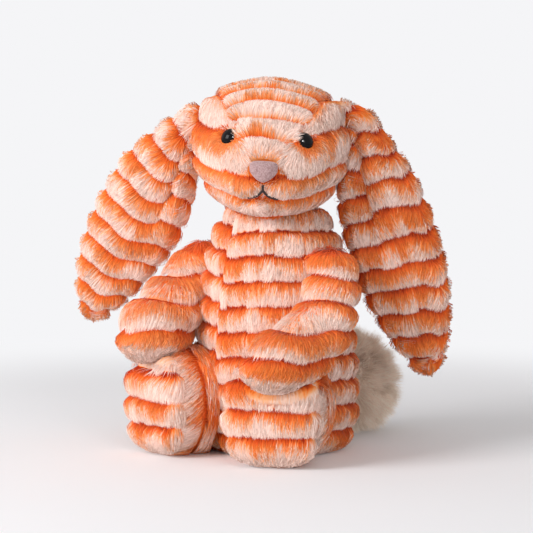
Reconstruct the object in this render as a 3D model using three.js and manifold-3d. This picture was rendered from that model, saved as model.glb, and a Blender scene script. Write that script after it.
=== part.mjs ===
// A sitting plush rabbit with long hanging ears: sewn skins, stuffing, safety eyes and a pellet seat.
// Millimetres, +Z up. The toy faces -Y, and its origin is the middle of the flat seat on the floor.
import * as THREE from 'three';
import { mergeVertices } from 'three/addons/utils/BufferGeometryUtils.js';
import Module from 'manifold-3d';

const wasm = await Module();
wasm.setup();

const { degToRad, inverseLerp, lerp, smoothstep } = THREE.MathUtils;
const at = (x, y, z) => new THREE.Vector3(x, y, z);

// Cloth and fit
const SKIN = 6; // plush cloth, from its backing to the tips of the pile
const GAP = 0.4; // air between neighbouring pieces
const SWING_GAP = 1; // air left around a piece that swings past another

// Rows of pile, each lapping over the next
const ROW_DEPTH = 2.9; // how far the creases lie under the crests
const ROW_DROOP = 0.32; // how much of that a row falls off from its crest to its edge

// Facets of the swelling forms, around and along: skins are finer than the stuffing inside them
const BODY_FACETS = [22, 10];
const BODY_CORE_FACETS = [14, 6];
const BODY_ROW_RINGS = 5;
const HEAD_FACETS = [24, 15];
const HEAD_ROW_FACETS = [62, 16];
const HEAD_CORE_FACETS = [14, 9];
const SOCKET_FACETS = [16, 8];
const POUCH_FACETS = [14, 7];
const EAR_FACETS = [7, 14];
const ARM_FACETS = [12, 12];
const ARM_CORE_FACETS = [8, 8];
const LEG_FACETS = [14, 11];
const LEG_CORE_FACETS = [10, 8];
const TAIL_FACETS = [16, 10];
const TAIL_CORE_FACETS = [12, 8];

// Body
const BODY_HALF_WIDTH = 43;
const BODY_HALF_DEPTH = 42;
const BODY_HEIGHT = 119;
const FLOOR_SINK = 1; // how much of the round underside is pressed flat
const BODY_ROW = 12.4;
const BODY_ROWS = 9;
const BODY_FIRST_ROW = 3.2; // from the upper end of the body's side down to its first whole row
const BODY_SEAM = degToRad(-14.4); // the front seam's angle from the middle
const BODY_SEAM_OFFSET = 0.3; // how far rows miss each other across a seam, in rows
const NECK = at(0, -2, 102); // the head turns and nods about this point
const NECK_RADIUS = 26;
const NECK_SEAM = 2; // drawn-in seam between the neck dome and the head
const NECK_THREAD_RADIUS = 0.6;
const NECK_THREAD_RING = 23;

// Pellet pouch
const POUCH_HALF_WIDTH = 27;
const POUCH_HALF_DEPTH = 24;
const POUCH_HALF_HEIGHT = 12;
const POUCH_CLOTH = 1;
const POUCH_SLIT = 3;

// Head
const HEAD_CENTRE = at(1, -5, 152.5);
const HEAD_YAW = degToRad(31);
const HEAD_ROLL = degToRad(3);
const HEAD_HALF = at(40, 38, 35.5);
const MUZZLE_CENTRE = at(0, -20, -10);
const MUZZLE_HALF = at(27, 25, 20);
const GUSSET_START = degToRad(-8); // where the middle panel starts over the nose
const GUSSET_TURN = degToRad(220);
const GUSSET_ROW = degToRad(17.5);
const GUSSET_FIRST_EDGE = degToRad(5.5);
const GUSSET_BOW = 0.0004; // rows by which an edge drops, for each square mm from the middle
const GUSSET_HALF_WIDTHS = [8, 15, 20, 23, 26, 27, 26, 24, 20, 14, 6];
const CHEEK_EDGES = [-40, -22, -5, 13, 22.5, 30.5, 40, 50]; // depths of the rows' edges below the middle
const CHEEK_BOW = 0.0078; // rise of these edges, for each square mm from the middle
const NOD_UP = 10;
const NOD_DOWN = 6;

// Eyes
const EYE_AZIMUTH = degToRad(30);
const EYE_HEIGHT = degToRad(8.5);
const EYE_RADIUS = 4.6;
const EYE_DOME = 3.2;
const EYE_SET = 2.4; // how deep the back of the dome sits in the pile
const SHANK_RADIUS = 1.8;
const SHANK_LENGTH = 13;
const WASHER_RADIUS = 5.5;
const WASHER_THICKNESS = 1.6;

// Nose and mouth
const NOSE_WIDTH = 16;
const NOSE_HEIGHT = 10.5;
const NOSE_THICKNESS = 4;
const NOSE_Z = -10.5;
const MOUTH_TOP = -17;
const MOUTH_FORK = -19.5;
const MOUTH_END = -23.5;
const MOUTH_HALF_WIDTH = 7;
const MOUTH_THREAD_RADIUS = 0.6;

// Ears
const EAR_ROOT = at(31, 6, 19);
const EAR_ROOT_WIDTH = 20;
const EAR_LIFT = 70;
const EAR_SPLIT = 0.35; // half the air between an ear's two panels

// Arms and legs
const SHOULDER = at(33, -4, 101);
const ARM_RAISE = 55;
const HIP = at(16, -4, 26);
const LEG_SPLAY = degToRad(21);
const LEG_LENGTH = 62;
const LEG_HALF_WIDTH = 25;
const LEG_HALF_HEIGHT = 27;
const LEG_SWING = 45;
const SOLE_THICKNESS = 6;

// Tail
const TAIL_CENTRE = at(0, 66, 25.5);
const TAIL_RADIUS = 25;
const TAIL_MOUTH = 7;
const TAIL_WAG = 15;

// Solids

function solidFrom(geometry) {
  const bare = geometry.clone();
  bare.deleteAttribute('normal');
  bare.deleteAttribute('uv');
  const merged = mergeVertices(bare, 1e-4);
  return new wasm.Manifold(new wasm.Mesh({
    numProp: 3,
    vertProperties: new Float32Array(merged.attributes.position.array),
    triVerts: new Uint32Array(merged.index.array),
  }));
}

function geometryFrom(solid) {
  const mesh = solid.getMesh();
  const geometry = new THREE.BufferGeometry();
  geometry.setAttribute('position', new THREE.BufferAttribute(new Float32Array(mesh.vertProperties), 3));
  geometry.setIndex(new THREE.BufferAttribute(new Uint32Array(mesh.triVerts), 1));
  return geometry;
}

const moved = (solid, matrix) => solid.transform(matrix.elements);

function turnAbout(pivot, axis, degrees) {
  const turn = new THREE.Matrix4().makeRotationAxis(axis.clone().normalize(), degToRad(degrees));
  const there = new THREE.Matrix4().makeTranslation(pivot);
  const back = new THREE.Matrix4().makeTranslation(pivot.clone().negate());
  return there.multiply(turn).multiply(back);
}

// Takes from a solid all that an obstacle covers as the solid swings through its range.
function clearOfSwing(solid, obstacle, pivot, axis, from, to, step) {
  let cut = solid;
  const steps = Math.ceil((to - from) / step);
  for (let i = 0; i <= steps; i += 1) {
    const angle = lerp(from, to, i / steps);
    cut = cut.subtract(moved(obstacle, turnAbout(pivot, axis, -angle)));
  }
  return cut;
}

function ellipsoid(centre, half, facets) {
  const geometry = new THREE.SphereGeometry(1, ...facets);
  geometry.rotateX(Math.PI / 2);
  geometry.scale(half.x, half.y, half.z);
  geometry.translate(centre.x, centre.y, centre.z);
  return solidFrom(geometry);
}

const ball = (centre, radius, facets) => ellipsoid(centre, at(radius, radius, radius), facets);

// A round bar from a point in a direction.
function bar(start, direction, radius, length, sides = 16) {
  const geometry = new THREE.CylinderGeometry(radius, radius, length, sides);
  geometry.translate(0, length / 2, 0);
  geometry.applyQuaternion(new THREE.Quaternion().setFromUnitVectors(at(0, 1, 0), direction));
  geometry.translate(start.x, start.y, start.z);
  return solidFrom(geometry);
}

// Everything on the side of a plane that its normal points to.
function halfSpace(point, normal, reach = 400) {
  const geometry = new THREE.BoxGeometry(reach, reach, reach);
  geometry.translate(0, 0, reach / 2);
  geometry.applyQuaternion(new THREE.Quaternion().setFromUnitVectors(at(0, 0, 1), normal));
  geometry.translate(point.x, point.y, point.z);
  return solidFrom(geometry);
}

const aboveFloor = halfSpace(at(0, 0, 0), at(0, 0, 1));

function part(name, solid, colour) {
  const material = new THREE.MeshStandardMaterial({ color: colour, roughness: 0.9 });
  const mesh = new THREE.Mesh(geometryFrom(solid), material);
  mesh.name = name;
  return mesh;
}

// Value of an evenly spaced list at a fraction of its length, on a smooth curve.
function along(list, fraction) {
  const curve = new THREE.SplineCurve(list.map((value, i) => new THREE.Vector2(i, value)));
  return curve.getPoint(fraction).y;
}

// A swelling tube with rounded ends: elliptical rings strung along a smooth spine.
// half gives which part of each ring to keep: 'whole', or the 'front' or 'back' of a split ear.
function stuffedTube({ spine, widths, depths, depthAxis, facets, blunt, shrink = 0, half = 'whole' }) {
  const [sides, rings] = facets;
  const curve = new THREE.CatmullRomCurve3(spine, false, 'centripetal');
  const inset = Math.max(shrink, 0) / curve.getLength();
  const span = half === 'whole' ? 2 * Math.PI : Math.PI;
  const start = half === 'front' ? Math.PI : 0;
  const shift = { whole: 0, front: -EAR_SPLIT, back: EAR_SPLIT }[half];
  const points = [];
  const ringSize = half === 'whole' ? sides : sides + 1;
  const place = (s, angle, scale) => {
    const tangent = curve.getTangentAt(s);
    const depth = depthAxis.clone().addScaledVector(tangent, -depthAxis.dot(tangent)).normalize();
    const width = depth.clone().cross(tangent);
    return curve.getPointAt(s)
      .addScaledVector(width, Math.cos(angle) * scale * (along(widths, s) - shrink))
      .addScaledVector(depth, Math.sin(angle) * scale * (along(depths, s) - shrink) + shift);
  };
  for (let k = 1; k < rings; k += 1) {
    const ease = Math.cos(Math.PI * k / rings);
    const s = lerp(inset, 1 - inset, (1 - ease) / 2);
    const scale = Math.sqrt(1 - Math.abs(ease) ** blunt);
    for (let i = 0; i < ringSize; i += 1) {
      points.push(place(s, start + span * i / sides, scale));
    }
  }
  const first = points.push(place(inset, 0, 0)) - 1;
  const last = points.push(place(1 - inset, 0, 0)) - 1;
  const faces = [];
  for (let i = 0; i < ringSize; i += 1) {
    const next = (i + 1) % ringSize;
    for (let k = 0; k < rings - 2; k += 1) {
      const row = k * ringSize;
      faces.push(row + i, row + next, row + ringSize + i);
      faces.push(row + next, row + ringSize + next, row + ringSize + i);
    }
    const end = (rings - 2) * ringSize;
    faces.push(first, next, i);
    faces.push(end + i, end + next, last);
  }
  const geometry = new THREE.BufferGeometry().setFromPoints(points);
  geometry.setIndex(faces);
  return solidFrom(geometry);
}

// Depth under the crest at a count of rows: out as a quarter sine to a row's middle, then slowly in again.
function rowSink(count) {
  const twice = 2 * (count - Math.floor(count));
  const rise = Math.sin(Math.PI / 2 * Math.min(twice, 1));
  return ROW_DEPTH * (1 - rise + ROW_DROOP * Math.max(twice - 1, 0) ** 2);
}

// Body: a pear-shaped bag with a neck dome, flat under the seat

const BODY_PROFILE = [
  [0.70, 0], [0.90, 0.045], [0.985, 0.13], [1, 0.22], [0.99, 0.36],
  [0.94, 0.55], [0.87, 0.73], [0.77, 0.87], [0.62, 0.96],
];

function bodySide(inset) {
  const foot = inset - FLOOR_SINK;
  const top = BODY_HEIGHT - inset;
  return new THREE.SplineCurve(BODY_PROFILE.map(([width, height]) => new THREE.Vector2(
    width * BODY_HALF_WIDTH - inset,
    lerp(foot, top, height),
  )));
}

function turnedBody(inset, sidePoints, around) {
  const foot = new THREE.Vector2(0, inset - FLOOR_SINK);
  const top = new THREE.Vector2(0, BODY_HEIGHT - inset);
  const geometry = new THREE.LatheGeometry([foot, ...sidePoints, top], around);
  geometry.rotateX(Math.PI / 2);
  geometry.scale(1, (BODY_HALF_DEPTH - inset) / (BODY_HALF_WIDTH - inset), 1);
  return geometry;
}

function bodyForm(inset, facets) {
  const [around, rings] = facets;
  const torso = solidFrom(turnedBody(inset, bodySide(inset).getPoints(rings), around));
  return torso.add(ball(NECK, NECK_RADIUS - inset, facets));
}

// The body with its rows of pile, which miss each other across the seams in front and behind.
function rowedBody() {
  const side = bodySide(0);
  const rowAt = (ring) => (ring + 0.5) / BODY_ROW_RINGS;
  const counts = Array.from({ length: BODY_ROWS * BODY_ROW_RINGS }, (_, ring) => rowAt(ring)).reverse();
  const drop = (count) => (BODY_FIRST_ROW + count * BODY_ROW) / side.getLength();
  const ends = [side.getPoint(0), side.getPoint(1)];
  const sidePoints = [ends[0], ...counts.map((count) => side.getPointAt(1 - drop(count))), ends[1]];
  const geometry = turnedBody(0, sidePoints, BODY_FACETS[0]);
  const spots = geometry.attributes.position;
  for (let i = 0; i < spots.count; i += 1) {
    const count = counts[i % (sidePoints.length + 2) - 2];
    if (count !== undefined) {
      const spot = new THREE.Vector3().fromBufferAttribute(spots, i);
      const angle = Math.atan2(spot.x, -spot.y);
      const offset = Math.sin(angle - BODY_SEAM) < 0 ? BODY_SEAM_OFFSET : 0;
      const scale = 1 - rowSink(count + offset) / Math.hypot(spot.x, spot.y);
      spots.setXYZ(i, spot.x * scale, spot.y * scale, spot.z);
    }
  }
  return solidFrom(geometry).add(ball(NECK, NECK_RADIUS, BODY_FACETS));
}

const bodyObstacle = bodyForm(-SWING_GAP, BODY_FACETS);

function bodyPieces() {
  const outer = rowedBody().intersect(aboveFloor);
  const turningHole = bar(NECK, at(0, 0, 1), NECK_RADIUS / 2, 2 * NECK_RADIUS);
  const skin = outer.subtract(bodyForm(SKIN, BODY_CORE_FACETS)).subtract(turningHole);

  const half = at(POUCH_HALF_WIDTH, POUCH_HALF_DEPTH, POUCH_HALF_HEIGHT);
  const centre = at(0, 0, SKIN + GAP + POUCH_HALF_HEIGHT);
  const pouchForm = (grow) => ellipsoid(centre, half.clone().addScalar(grow), POUCH_FACETS);
  const pouchFloor = bar(centre, at(0, 0, -1), POUCH_HALF_DEPTH - SKIN, 2 * POUCH_HALF_HEIGHT);
  const stuffing = bodyForm(SKIN + GAP, BODY_CORE_FACETS).subtract(pouchForm(GAP)).subtract(pouchFloor);

  const slit = bar(centre, at(0, 1, 0), POUCH_SLIT, 2 * POUCH_HALF_DEPTH, 8);
  const pouch = pouchForm(0).subtract(pouchForm(-POUCH_CLOTH)).subtract(slit);
  const pellets = pouchForm(-POUCH_CLOTH - GAP);
  return [
    part('body_skin', skin, 0xe88a4a),
    part('body_stuffing', stuffing, 0xf4f1ea),
    part('pellet_pouch', pouch, 0xcfc6b4),
    part('pellets', pellets, 0xd9d9d6),
  ];
}

function neckThread() {
  const height = Math.sqrt((NECK_RADIUS + NECK_SEAM / 2) ** 2 - NECK_THREAD_RING ** 2);
  const geometry = new THREE.TorusGeometry(NECK_THREAD_RING, NECK_THREAD_RADIUS, 5, 22);
  geometry.translate(NECK.x, NECK.y, NECK.z + height);
  return part('neck_thread', solidFrom(geometry), 0x9a5630);
}

// Head: a rounded bag with a muzzle, in its own turned frame

const head = new THREE.Group();
head.position.copy(HEAD_CENTRE);
head.rotation.set(0, HEAD_ROLL, HEAD_YAW, 'ZYX');
head.updateMatrixWorld();
const intoHead = head.matrixWorld.clone().invert();
const neckInHead = NECK.clone().applyMatrix4(intoHead);
const nodAxis = at(1, 0, 0).transformDirection(head.matrixWorld).setZ(0).transformDirection(intoHead);

// Distance from the head's middle to its skin, along a direction: a skull with a muzzle grown out of it.
function headReach(direction, inset) {
  const skull = direction.clone().divide(HEAD_HALF).length();
  const scaled = direction.clone().divide(MUZZLE_HALF);
  const centre = MUZZLE_CENTRE.clone().divide(MUZZLE_HALF);
  const a = scaled.lengthSq();
  const b = scaled.dot(centre);
  const inside = b * b - a * (centre.lengthSq() - 1);
  const muzzle = inside > 0 ? Math.max((b + Math.sqrt(inside)) / a, 0) : 0;
  const sharp = 8;
  return ((1 / skull) ** sharp + muzzle ** sharp) ** (1 / sharp) - inset;
}

function headForm(inset, facets) {
  const geometry = new THREE.SphereGeometry(1, ...facets);
  geometry.rotateX(Math.PI / 2);
  const spots = geometry.attributes.position;
  for (let i = 0; i < spots.count; i += 1) {
    const direction = new THREE.Vector3().fromBufferAttribute(spots, i).normalize();
    direction.multiplyScalar(headReach(direction, inset));
    spots.setXYZ(i, direction.x, direction.y, direction.z);
  }
  return solidFrom(geometry);
}

// The point of the face straight in front of a place beside and above the head's middle.
function faceAt(x, z) {
  let near = -2 * HEAD_HALF.y;
  let far = 0;
  for (let i = 0; i < 40; i += 1) {
    const middle = (near + far) / 2;
    const spot = at(x, middle, z);
    const distance = spot.length();
    const outside = distance > headReach(spot.divideScalar(distance), 0);
    near = outside ? middle : near;
    far = outside ? far : middle;
  }
  return at(x, near, z);
}

function faceNormal(x, z) {
  const reach = 2;
  const across = faceAt(x + reach, z).sub(faceAt(x - reach, z));
  const up = faceAt(x, z + reach).sub(faceAt(x, z - reach));
  return across.cross(up).normalize();
}

// Count of the rows of pile at a spot of the head: back over the middle panel, and down the cheeks.
function headRow(spot) {
  const angle = Math.atan2(spot.z, -spot.y);
  const turn = angle < -Math.PI / 2 ? angle + 2 * Math.PI : angle;
  const share = (turn - GUSSET_START) / GUSSET_TURN;
  if (share > 0 && share < 1 && Math.abs(spot.x) < along(GUSSET_HALF_WIDTHS, share)) {
    return (turn - GUSSET_FIRST_EDGE) / GUSSET_ROW + GUSSET_BOW * spot.x ** 2;
  }
  const depth = CHEEK_BOW * spot.x ** 2 - spot.z;
  const row = CHEEK_EDGES.findIndex((edge) => edge > depth);
  return row + inverseLerp(CHEEK_EDGES[row - 1], CHEEK_EDGES[row], depth);
}

// The head with its rows of pile, which flatten out towards the nose and mouth, the eyes and the ears.
function rowedHead() {
  const [around, rings] = HEAD_ROW_FACETS;
  const rim = new THREE.EllipseCurve(0, 0, 1, 1, -Math.PI / 2, Math.PI / 2).getPoints(rings);
  const geometry = new THREE.LatheGeometry(rim, around);
  geometry.rotateZ(Math.PI / 2);
  const calm = [[faceAt(0, NOSE_Z), NOSE_WIDTH / 2]];
  for (const side of [1, -1]) {
    calm.push([eyeSeat(side).spot, EYE_RADIUS]);
    calm.push([at(side * EAR_ROOT.x, EAR_ROOT.y, EAR_ROOT.z), EAR_ROOT_WIDTH / 2]);
  }
  const spots = geometry.attributes.position;
  for (let i = 0; i < spots.count; i += 1) {
    const direction = new THREE.Vector3().fromBufferAttribute(spots, i).normalize();
    const reach = headReach(direction, 0);
    const spot = direction.clone().multiplyScalar(reach);
    const shares = calm.map(([middle, near]) => smoothstep(spot.distanceTo(middle), near, 2 * near));
    direction.multiplyScalar(reach - Math.min(...shares) * rowSink(headRow(spot)));
    spots.setXYZ(i, direction.x, direction.y, direction.z);
  }
  return solidFrom(geometry);
}

function eyeSeat(side) {
  const flat = Math.cos(EYE_HEIGHT);
  const direction = at(
    side * Math.sin(EYE_AZIMUTH) * flat,
    -Math.cos(EYE_AZIMUTH) * flat,
    Math.sin(EYE_HEIGHT),
  );
  const spot = direction.clone().multiplyScalar(headReach(direction, 0));
  const normal = faceNormal(spot.x, spot.z);
  return { spot: spot.addScaledVector(normal, -EYE_SET), normal };
}

function turned(outline, seat, sides) {
  const geometry = new THREE.LatheGeometry(outline, sides);
  geometry.applyQuaternion(new THREE.Quaternion().setFromUnitVectors(at(0, 1, 0), seat.normal));
  geometry.translate(seat.spot.x, seat.spot.y, seat.spot.z);
  return solidFrom(geometry);
}

function eyeSolid(seat) {
  const dome = new THREE.EllipseCurve(0, 0, EYE_RADIUS, EYE_DOME, 0, Math.PI / 2).getPoints(4);
  const tip = SHANK_RADIUS / 2;
  return turned([
    new THREE.Vector2(0, -SHANK_LENGTH),
    new THREE.Vector2(tip, -SHANK_LENGTH),
    new THREE.Vector2(SHANK_RADIUS, -SHANK_LENGTH + tip),
    new THREE.Vector2(SHANK_RADIUS, 0),
    ...dome,
  ], seat, 12);
}

function washerSolid(seat, grow, hole) {
  const top = -(SKIN - EYE_SET) - 6 * GAP + grow;
  const bottom = top - WASHER_THICKNESS - 2 * grow;
  const rim = WASHER_RADIUS + grow;
  const outline = [
    new THREE.Vector2(hole, bottom),
    new THREE.Vector2(rim, bottom),
    new THREE.Vector2(rim, top),
    new THREE.Vector2(hole, top),
  ];
  return turned(hole > 0 ? [...outline, outline[0]] : outline, seat, 10);
}

function noseSolid(grow) {
  const half = NOSE_WIDTH / 2 + grow;
  const top = NOSE_HEIGHT / 2 + grow;
  const shape = new THREE.Shape();
  shape.moveTo(-half * 0.6, top);
  shape.quadraticCurveTo(0, top * 1.12, half * 0.6, top);
  shape.bezierCurveTo(half, top, half * 1.05, top * 0.35, half * 0.72, -top * 0.1);
  shape.quadraticCurveTo(half * 0.3, -top, 0, -top);
  shape.quadraticCurveTo(-half * 0.3, -top, -half * 0.72, -top * 0.1);
  shape.bezierCurveTo(-half * 1.05, top * 0.35, -half, top, -half * 0.6, top);
  const edge = NOSE_THICKNESS / 4;
  const geometry = new THREE.ExtrudeGeometry(shape, {
    depth: NOSE_THICKNESS - edge + grow,
    curveSegments: 3,
    bevelThickness: edge,
    bevelSize: edge,
    bevelOffset: -edge,
    bevelSegments: 1,
  });
  geometry.translate(0, 0, -NOSE_THICKNESS / 2 - grow);
  const normal = faceNormal(0, NOSE_Z);
  const across = at(1, 0, 0);
  const up = normal.clone().cross(across);
  geometry.applyMatrix4(new THREE.Matrix4().makeBasis(across, up, normal));
  const spot = faceAt(0, NOSE_Z);
  geometry.translate(spot.x, spot.y, spot.z);
  return solidFrom(geometry);
}

function mouthSolid(radius) {
  const stitched = (places, steps) => {
    const thread = new THREE.Shape().absarc(0, 0, radius, 0, 2 * Math.PI);
    const extrudePath = new THREE.CatmullRomCurve3(places.map(([x, z]) => faceAt(x, z)));
    return solidFrom(new THREE.ExtrudeGeometry(thread, { steps, extrudePath, curveSegments: 3 }));
  };
  const lip = (side) => stitched([
    [0, MOUTH_FORK],
    [side * MOUTH_HALF_WIDTH * 0.4, lerp(MOUTH_FORK, MOUTH_END, 0.7)],
    [side * MOUTH_HALF_WIDTH, MOUTH_END],
  ], 4);
  return stitched([[0, MOUTH_TOP], [0, MOUTH_FORK]], 2).add(lip(1)).add(lip(-1));
}

const headObstacle = headForm(-SWING_GAP, HEAD_FACETS);

function headPieces() {
  const socket = (grow) => ball(neckInHead, NECK_RADIUS + NECK_SEAM + grow, SOCKET_FACETS);
  const shoulders = moved(bodyObstacle, intoHead);
  const onNeck = (form, grow) => clearOfSwing(
    form.subtract(socket(grow)), shoulders, neckInHead, nodAxis, -NOD_UP, NOD_DOWN, 8,
  );
  let skin = onNeck(rowedHead(), 0).subtract(headForm(SKIN, HEAD_CORE_FACETS));
  let stuffing = onNeck(headForm(SKIN + GAP, HEAD_CORE_FACETS), GAP);
  const trim = [];
  for (const [name, side] of [['left', 1], ['right', -1]]) {
    const seat = eyeSeat(side);
    const back = seat.spot.clone().addScaledVector(seat.normal, -GAP);
    const inward = seat.normal.clone().negate();
    const shankHole = bar(back, inward, SHANK_RADIUS + GAP, SHANK_LENGTH + GAP, 12);
    skin = skin.subtract(bar(back, seat.normal, EYE_RADIUS + GAP, 2 * EYE_SET)).subtract(shankHole);
    stuffing = stuffing.subtract(shankHole).subtract(washerSolid(seat, 2 * GAP, 0));
    trim.push(part(`${name}_eye`, eyeSolid(seat), 0x0b0a0a));
    trim.push(part(`${name}_eye_washer`, washerSolid(seat, 0, SHANK_RADIUS + GAP), 0xe8e8e4));
  }
  skin = skin.subtract(noseSolid(GAP)).subtract(mouthSolid(MOUTH_THREAD_RADIUS + GAP));
  return [
    part('head_skin', skin, 0xeb9a60),
    part('head_stuffing', stuffing, 0xf4f1ea),
    ...trim,
    part('nose_pad', noseSolid(0), 0xb98083),
    part('mouth_thread', mouthSolid(MOUTH_THREAD_RADIUS), 0x6b4a45),
  ];
}

// Ears: long flat bags that hang from the sides of the head, the right one swept back

const EAR_SPINE = {
  left: [
    at(28, 6, 21), at(43, 5, 13), at(52, 4, -9), at(62, 5, -34),
    at(72, 7, -60), at(79, 9, -84), at(86, 11, -108),
  ],
  right: [
    at(-28, 6, 19), at(-43, 8, 7), at(-55, 14, -10), at(-67, 22, -32),
    at(-78, 31, -54), at(-87, 40, -75), at(-94, 48, -94),
  ],
};
const EAR_WIDTHS = [EAR_ROOT_WIDTH / 2, 13, 20, 22, 21, 18, 13];
const EAR_DEPTHS = [9, 10, 11, 11, 10.5, 10, 8];

function earPieces(name, side) {
  const root = at(side * EAR_ROOT.x, EAR_ROOT.y, EAR_ROOT.z);
  return ['front', 'back'].map((half) => {
    const panel = stuffedTube({
      spine: EAR_SPINE[name],
      widths: EAR_WIDTHS,
      depths: EAR_DEPTHS,
      depthAxis: at(0, 1, 0),
      facets: EAR_FACETS,
      blunt: 6,
      half,
    });
    const hung = clearOfSwing(panel, headObstacle, root, at(0, -side, 0), 0, EAR_LIFT, 18);
    return part(`${name}_ear_${half}`, hung, 0xeb9a60);
  });
}

// Arms: bent sleeves, open and gathered at the shoulder, with the paws resting on the legs

const ARM_SPINE = {
  left: [SHOULDER, at(41, -10, 84), at(43, -25, 64), at(41, -48, 54), at(37, -70, 47)],
  right: [
    at(-SHOULDER.x, SHOULDER.y, SHOULDER.z),
    at(-41, -13, 88), at(-43, -30, 74), at(-41, -50, 64), at(-39, -68, 57),
  ],
};
const ARM_RADII = [13.5, 14.5, 16, 17, 16];
const RAISE_AXIS = at(-1, 0, 0);
const PAW_LIFT = 8; // how far a paw has to rise before it is clear of the leg it rests on

function armForm(name, shrink, facets) {
  return stuffedTube({
    spine: ARM_SPINE[name],
    widths: ARM_RADII,
    depths: ARM_RADII,
    depthAxis: at(1, 0, 0),
    facets,
    blunt: 5,
    shrink,
  });
}

function armPieces(name) {
  const shoulder = ARM_SPINE[name][0];
  const fitted = (form) => clearOfSwing(form, bodyObstacle, shoulder, RAISE_AXIS, 0, ARM_RAISE, 14);
  const mouth = ball(shoulder, ARM_RADII[0] - SKIN / 2, ARM_CORE_FACETS);
  const bore = armForm(name, SKIN, ARM_CORE_FACETS).add(mouth);
  const skin = fitted(armForm(name, 0, ARM_FACETS)).subtract(bore);
  const stuffing = fitted(armForm(name, SKIN + GAP, ARM_CORE_FACETS)).subtract(mouth);
  return [
    part(`${name}_arm_skin`, skin, 0xe88a4a),
    part(`${name}_arm_stuffing`, stuffing, 0xf4f1ea),
  ];
}

// Legs: short splayed tubes, flat underneath, each closed in front by a sole panel

const LEG_WIDTHS = [0.85, 0.95, 1, 1].map((share) => share * LEG_HALF_WIDTH);
const LEG_HEIGHTS = [0.8, 0.95, 1, 0.98].map((share) => share * LEG_HALF_HEIGHT);

function legPieces(name, side) {
  const hip = at(side * HIP.x, HIP.y, HIP.z);
  const forward = at(side * Math.sin(LEG_SPLAY), -Math.cos(LEG_SPLAY), 0);
  const swingAxis = at(Math.cos(LEG_SPLAY), side * Math.sin(LEG_SPLAY), 0);
  const shoulder = ARM_SPINE[name][0];
  const paw = armForm(name, -SWING_GAP, ARM_FACETS);
  const legForm = (shrink, facets) => stuffedTube({
    spine: [hip, hip.clone().addScaledVector(forward, LEG_LENGTH)],
    widths: LEG_WIDTHS,
    depths: LEG_HEIGHTS,
    depthAxis: at(0, 0, 1),
    facets,
    blunt: 10,
    shrink,
  });
  const fitted = (form) => {
    const onBody = clearOfSwing(form, bodyObstacle, hip, swingAxis, 0, LEG_SWING, 15);
    const underPaw = onBody.subtract(paw).subtract(moved(paw, turnAbout(shoulder, RAISE_AXIS, PAW_LIFT)));
    return underPaw.intersect(aboveFloor);
  };
  const seam = hip.clone().addScaledVector(forward, LEG_LENGTH - SOLE_THICKNESS);
  const outer = fitted(legForm(0, LEG_FACETS));
  const backward = forward.clone().negate();
  const bore = legForm(SKIN, LEG_CORE_FACETS).add(bar(seam, backward, LEG_HALF_WIDTH - SKIN, SKIN));
  const behind = halfSpace(seam.clone().addScaledVector(backward, GAP), backward);
  return [
    part(`${name}_leg_skin`, outer.intersect(behind).subtract(bore), 0xe88a4a),
    part(`${name}_leg_stuffing`, fitted(legForm(SKIN + GAP, LEG_CORE_FACETS)).intersect(behind), 0xf4f1ea),
    part(`${name}_sole`, outer.intersect(halfSpace(seam, forward)), 0xf0b48c),
  ];
}

// Tail: a ball of long pile sewn to the back

const TAIL_ROOT = at(0, BODY_HALF_DEPTH, TAIL_CENTRE.z);

function tailPieces() {
  const fitted = (form) => clearOfSwing(form, bodyObstacle, TAIL_ROOT, at(0, 0, 1), -TAIL_WAG, TAIL_WAG, 15);
  const mouth = bar(TAIL_CENTRE, at(0, -1, 0), TAIL_MOUTH, TAIL_RADIUS);
  const skin = fitted(ball(TAIL_CENTRE, TAIL_RADIUS, TAIL_FACETS))
    .subtract(ball(TAIL_CENTRE, TAIL_RADIUS - SKIN, TAIL_CORE_FACETS))
    .subtract(mouth);
  const stuffing = fitted(ball(TAIL_CENTRE, TAIL_RADIUS - SKIN - GAP, TAIL_CORE_FACETS));
  return [
    part('tail_skin', skin, 0xe9dcc8),
    part('tail_stuffing', stuffing, 0xf4f1ea),
  ];
}

head.add(...headPieces(), ...earPieces('left', 1), ...earPieces('right', -1));

const rabbit = new THREE.Group();
rabbit.add(
  ...bodyPieces(),
  neckThread(),
  head,
  ...armPieces('left'),
  ...armPieces('right'),
  ...legPieces('left', 1),
  ...legPieces('right', -1),
  ...tailPieces(),
);

export default rabbit;
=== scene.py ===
import math

import bpy
import numpy as np
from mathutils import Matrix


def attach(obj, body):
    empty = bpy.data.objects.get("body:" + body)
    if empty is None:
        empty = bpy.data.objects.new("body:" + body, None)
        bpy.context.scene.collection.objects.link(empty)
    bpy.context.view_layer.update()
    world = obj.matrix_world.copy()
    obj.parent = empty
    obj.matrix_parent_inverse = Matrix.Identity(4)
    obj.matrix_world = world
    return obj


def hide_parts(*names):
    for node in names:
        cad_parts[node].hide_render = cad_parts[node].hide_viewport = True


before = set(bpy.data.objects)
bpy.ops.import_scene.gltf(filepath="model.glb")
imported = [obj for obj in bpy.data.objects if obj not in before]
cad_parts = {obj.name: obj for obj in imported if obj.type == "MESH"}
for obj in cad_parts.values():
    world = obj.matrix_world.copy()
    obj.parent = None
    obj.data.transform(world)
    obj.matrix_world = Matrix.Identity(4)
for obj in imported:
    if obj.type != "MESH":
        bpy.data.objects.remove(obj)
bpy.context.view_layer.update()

# Studio
# The toy sits on a pale seamless table. A large soft lamp lights it from the upper left, a weak one from the
# right and weak light from all round, and a small lamp glints in its eyes. The camera stands to the toy's
# front left, a little above its middle.

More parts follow.
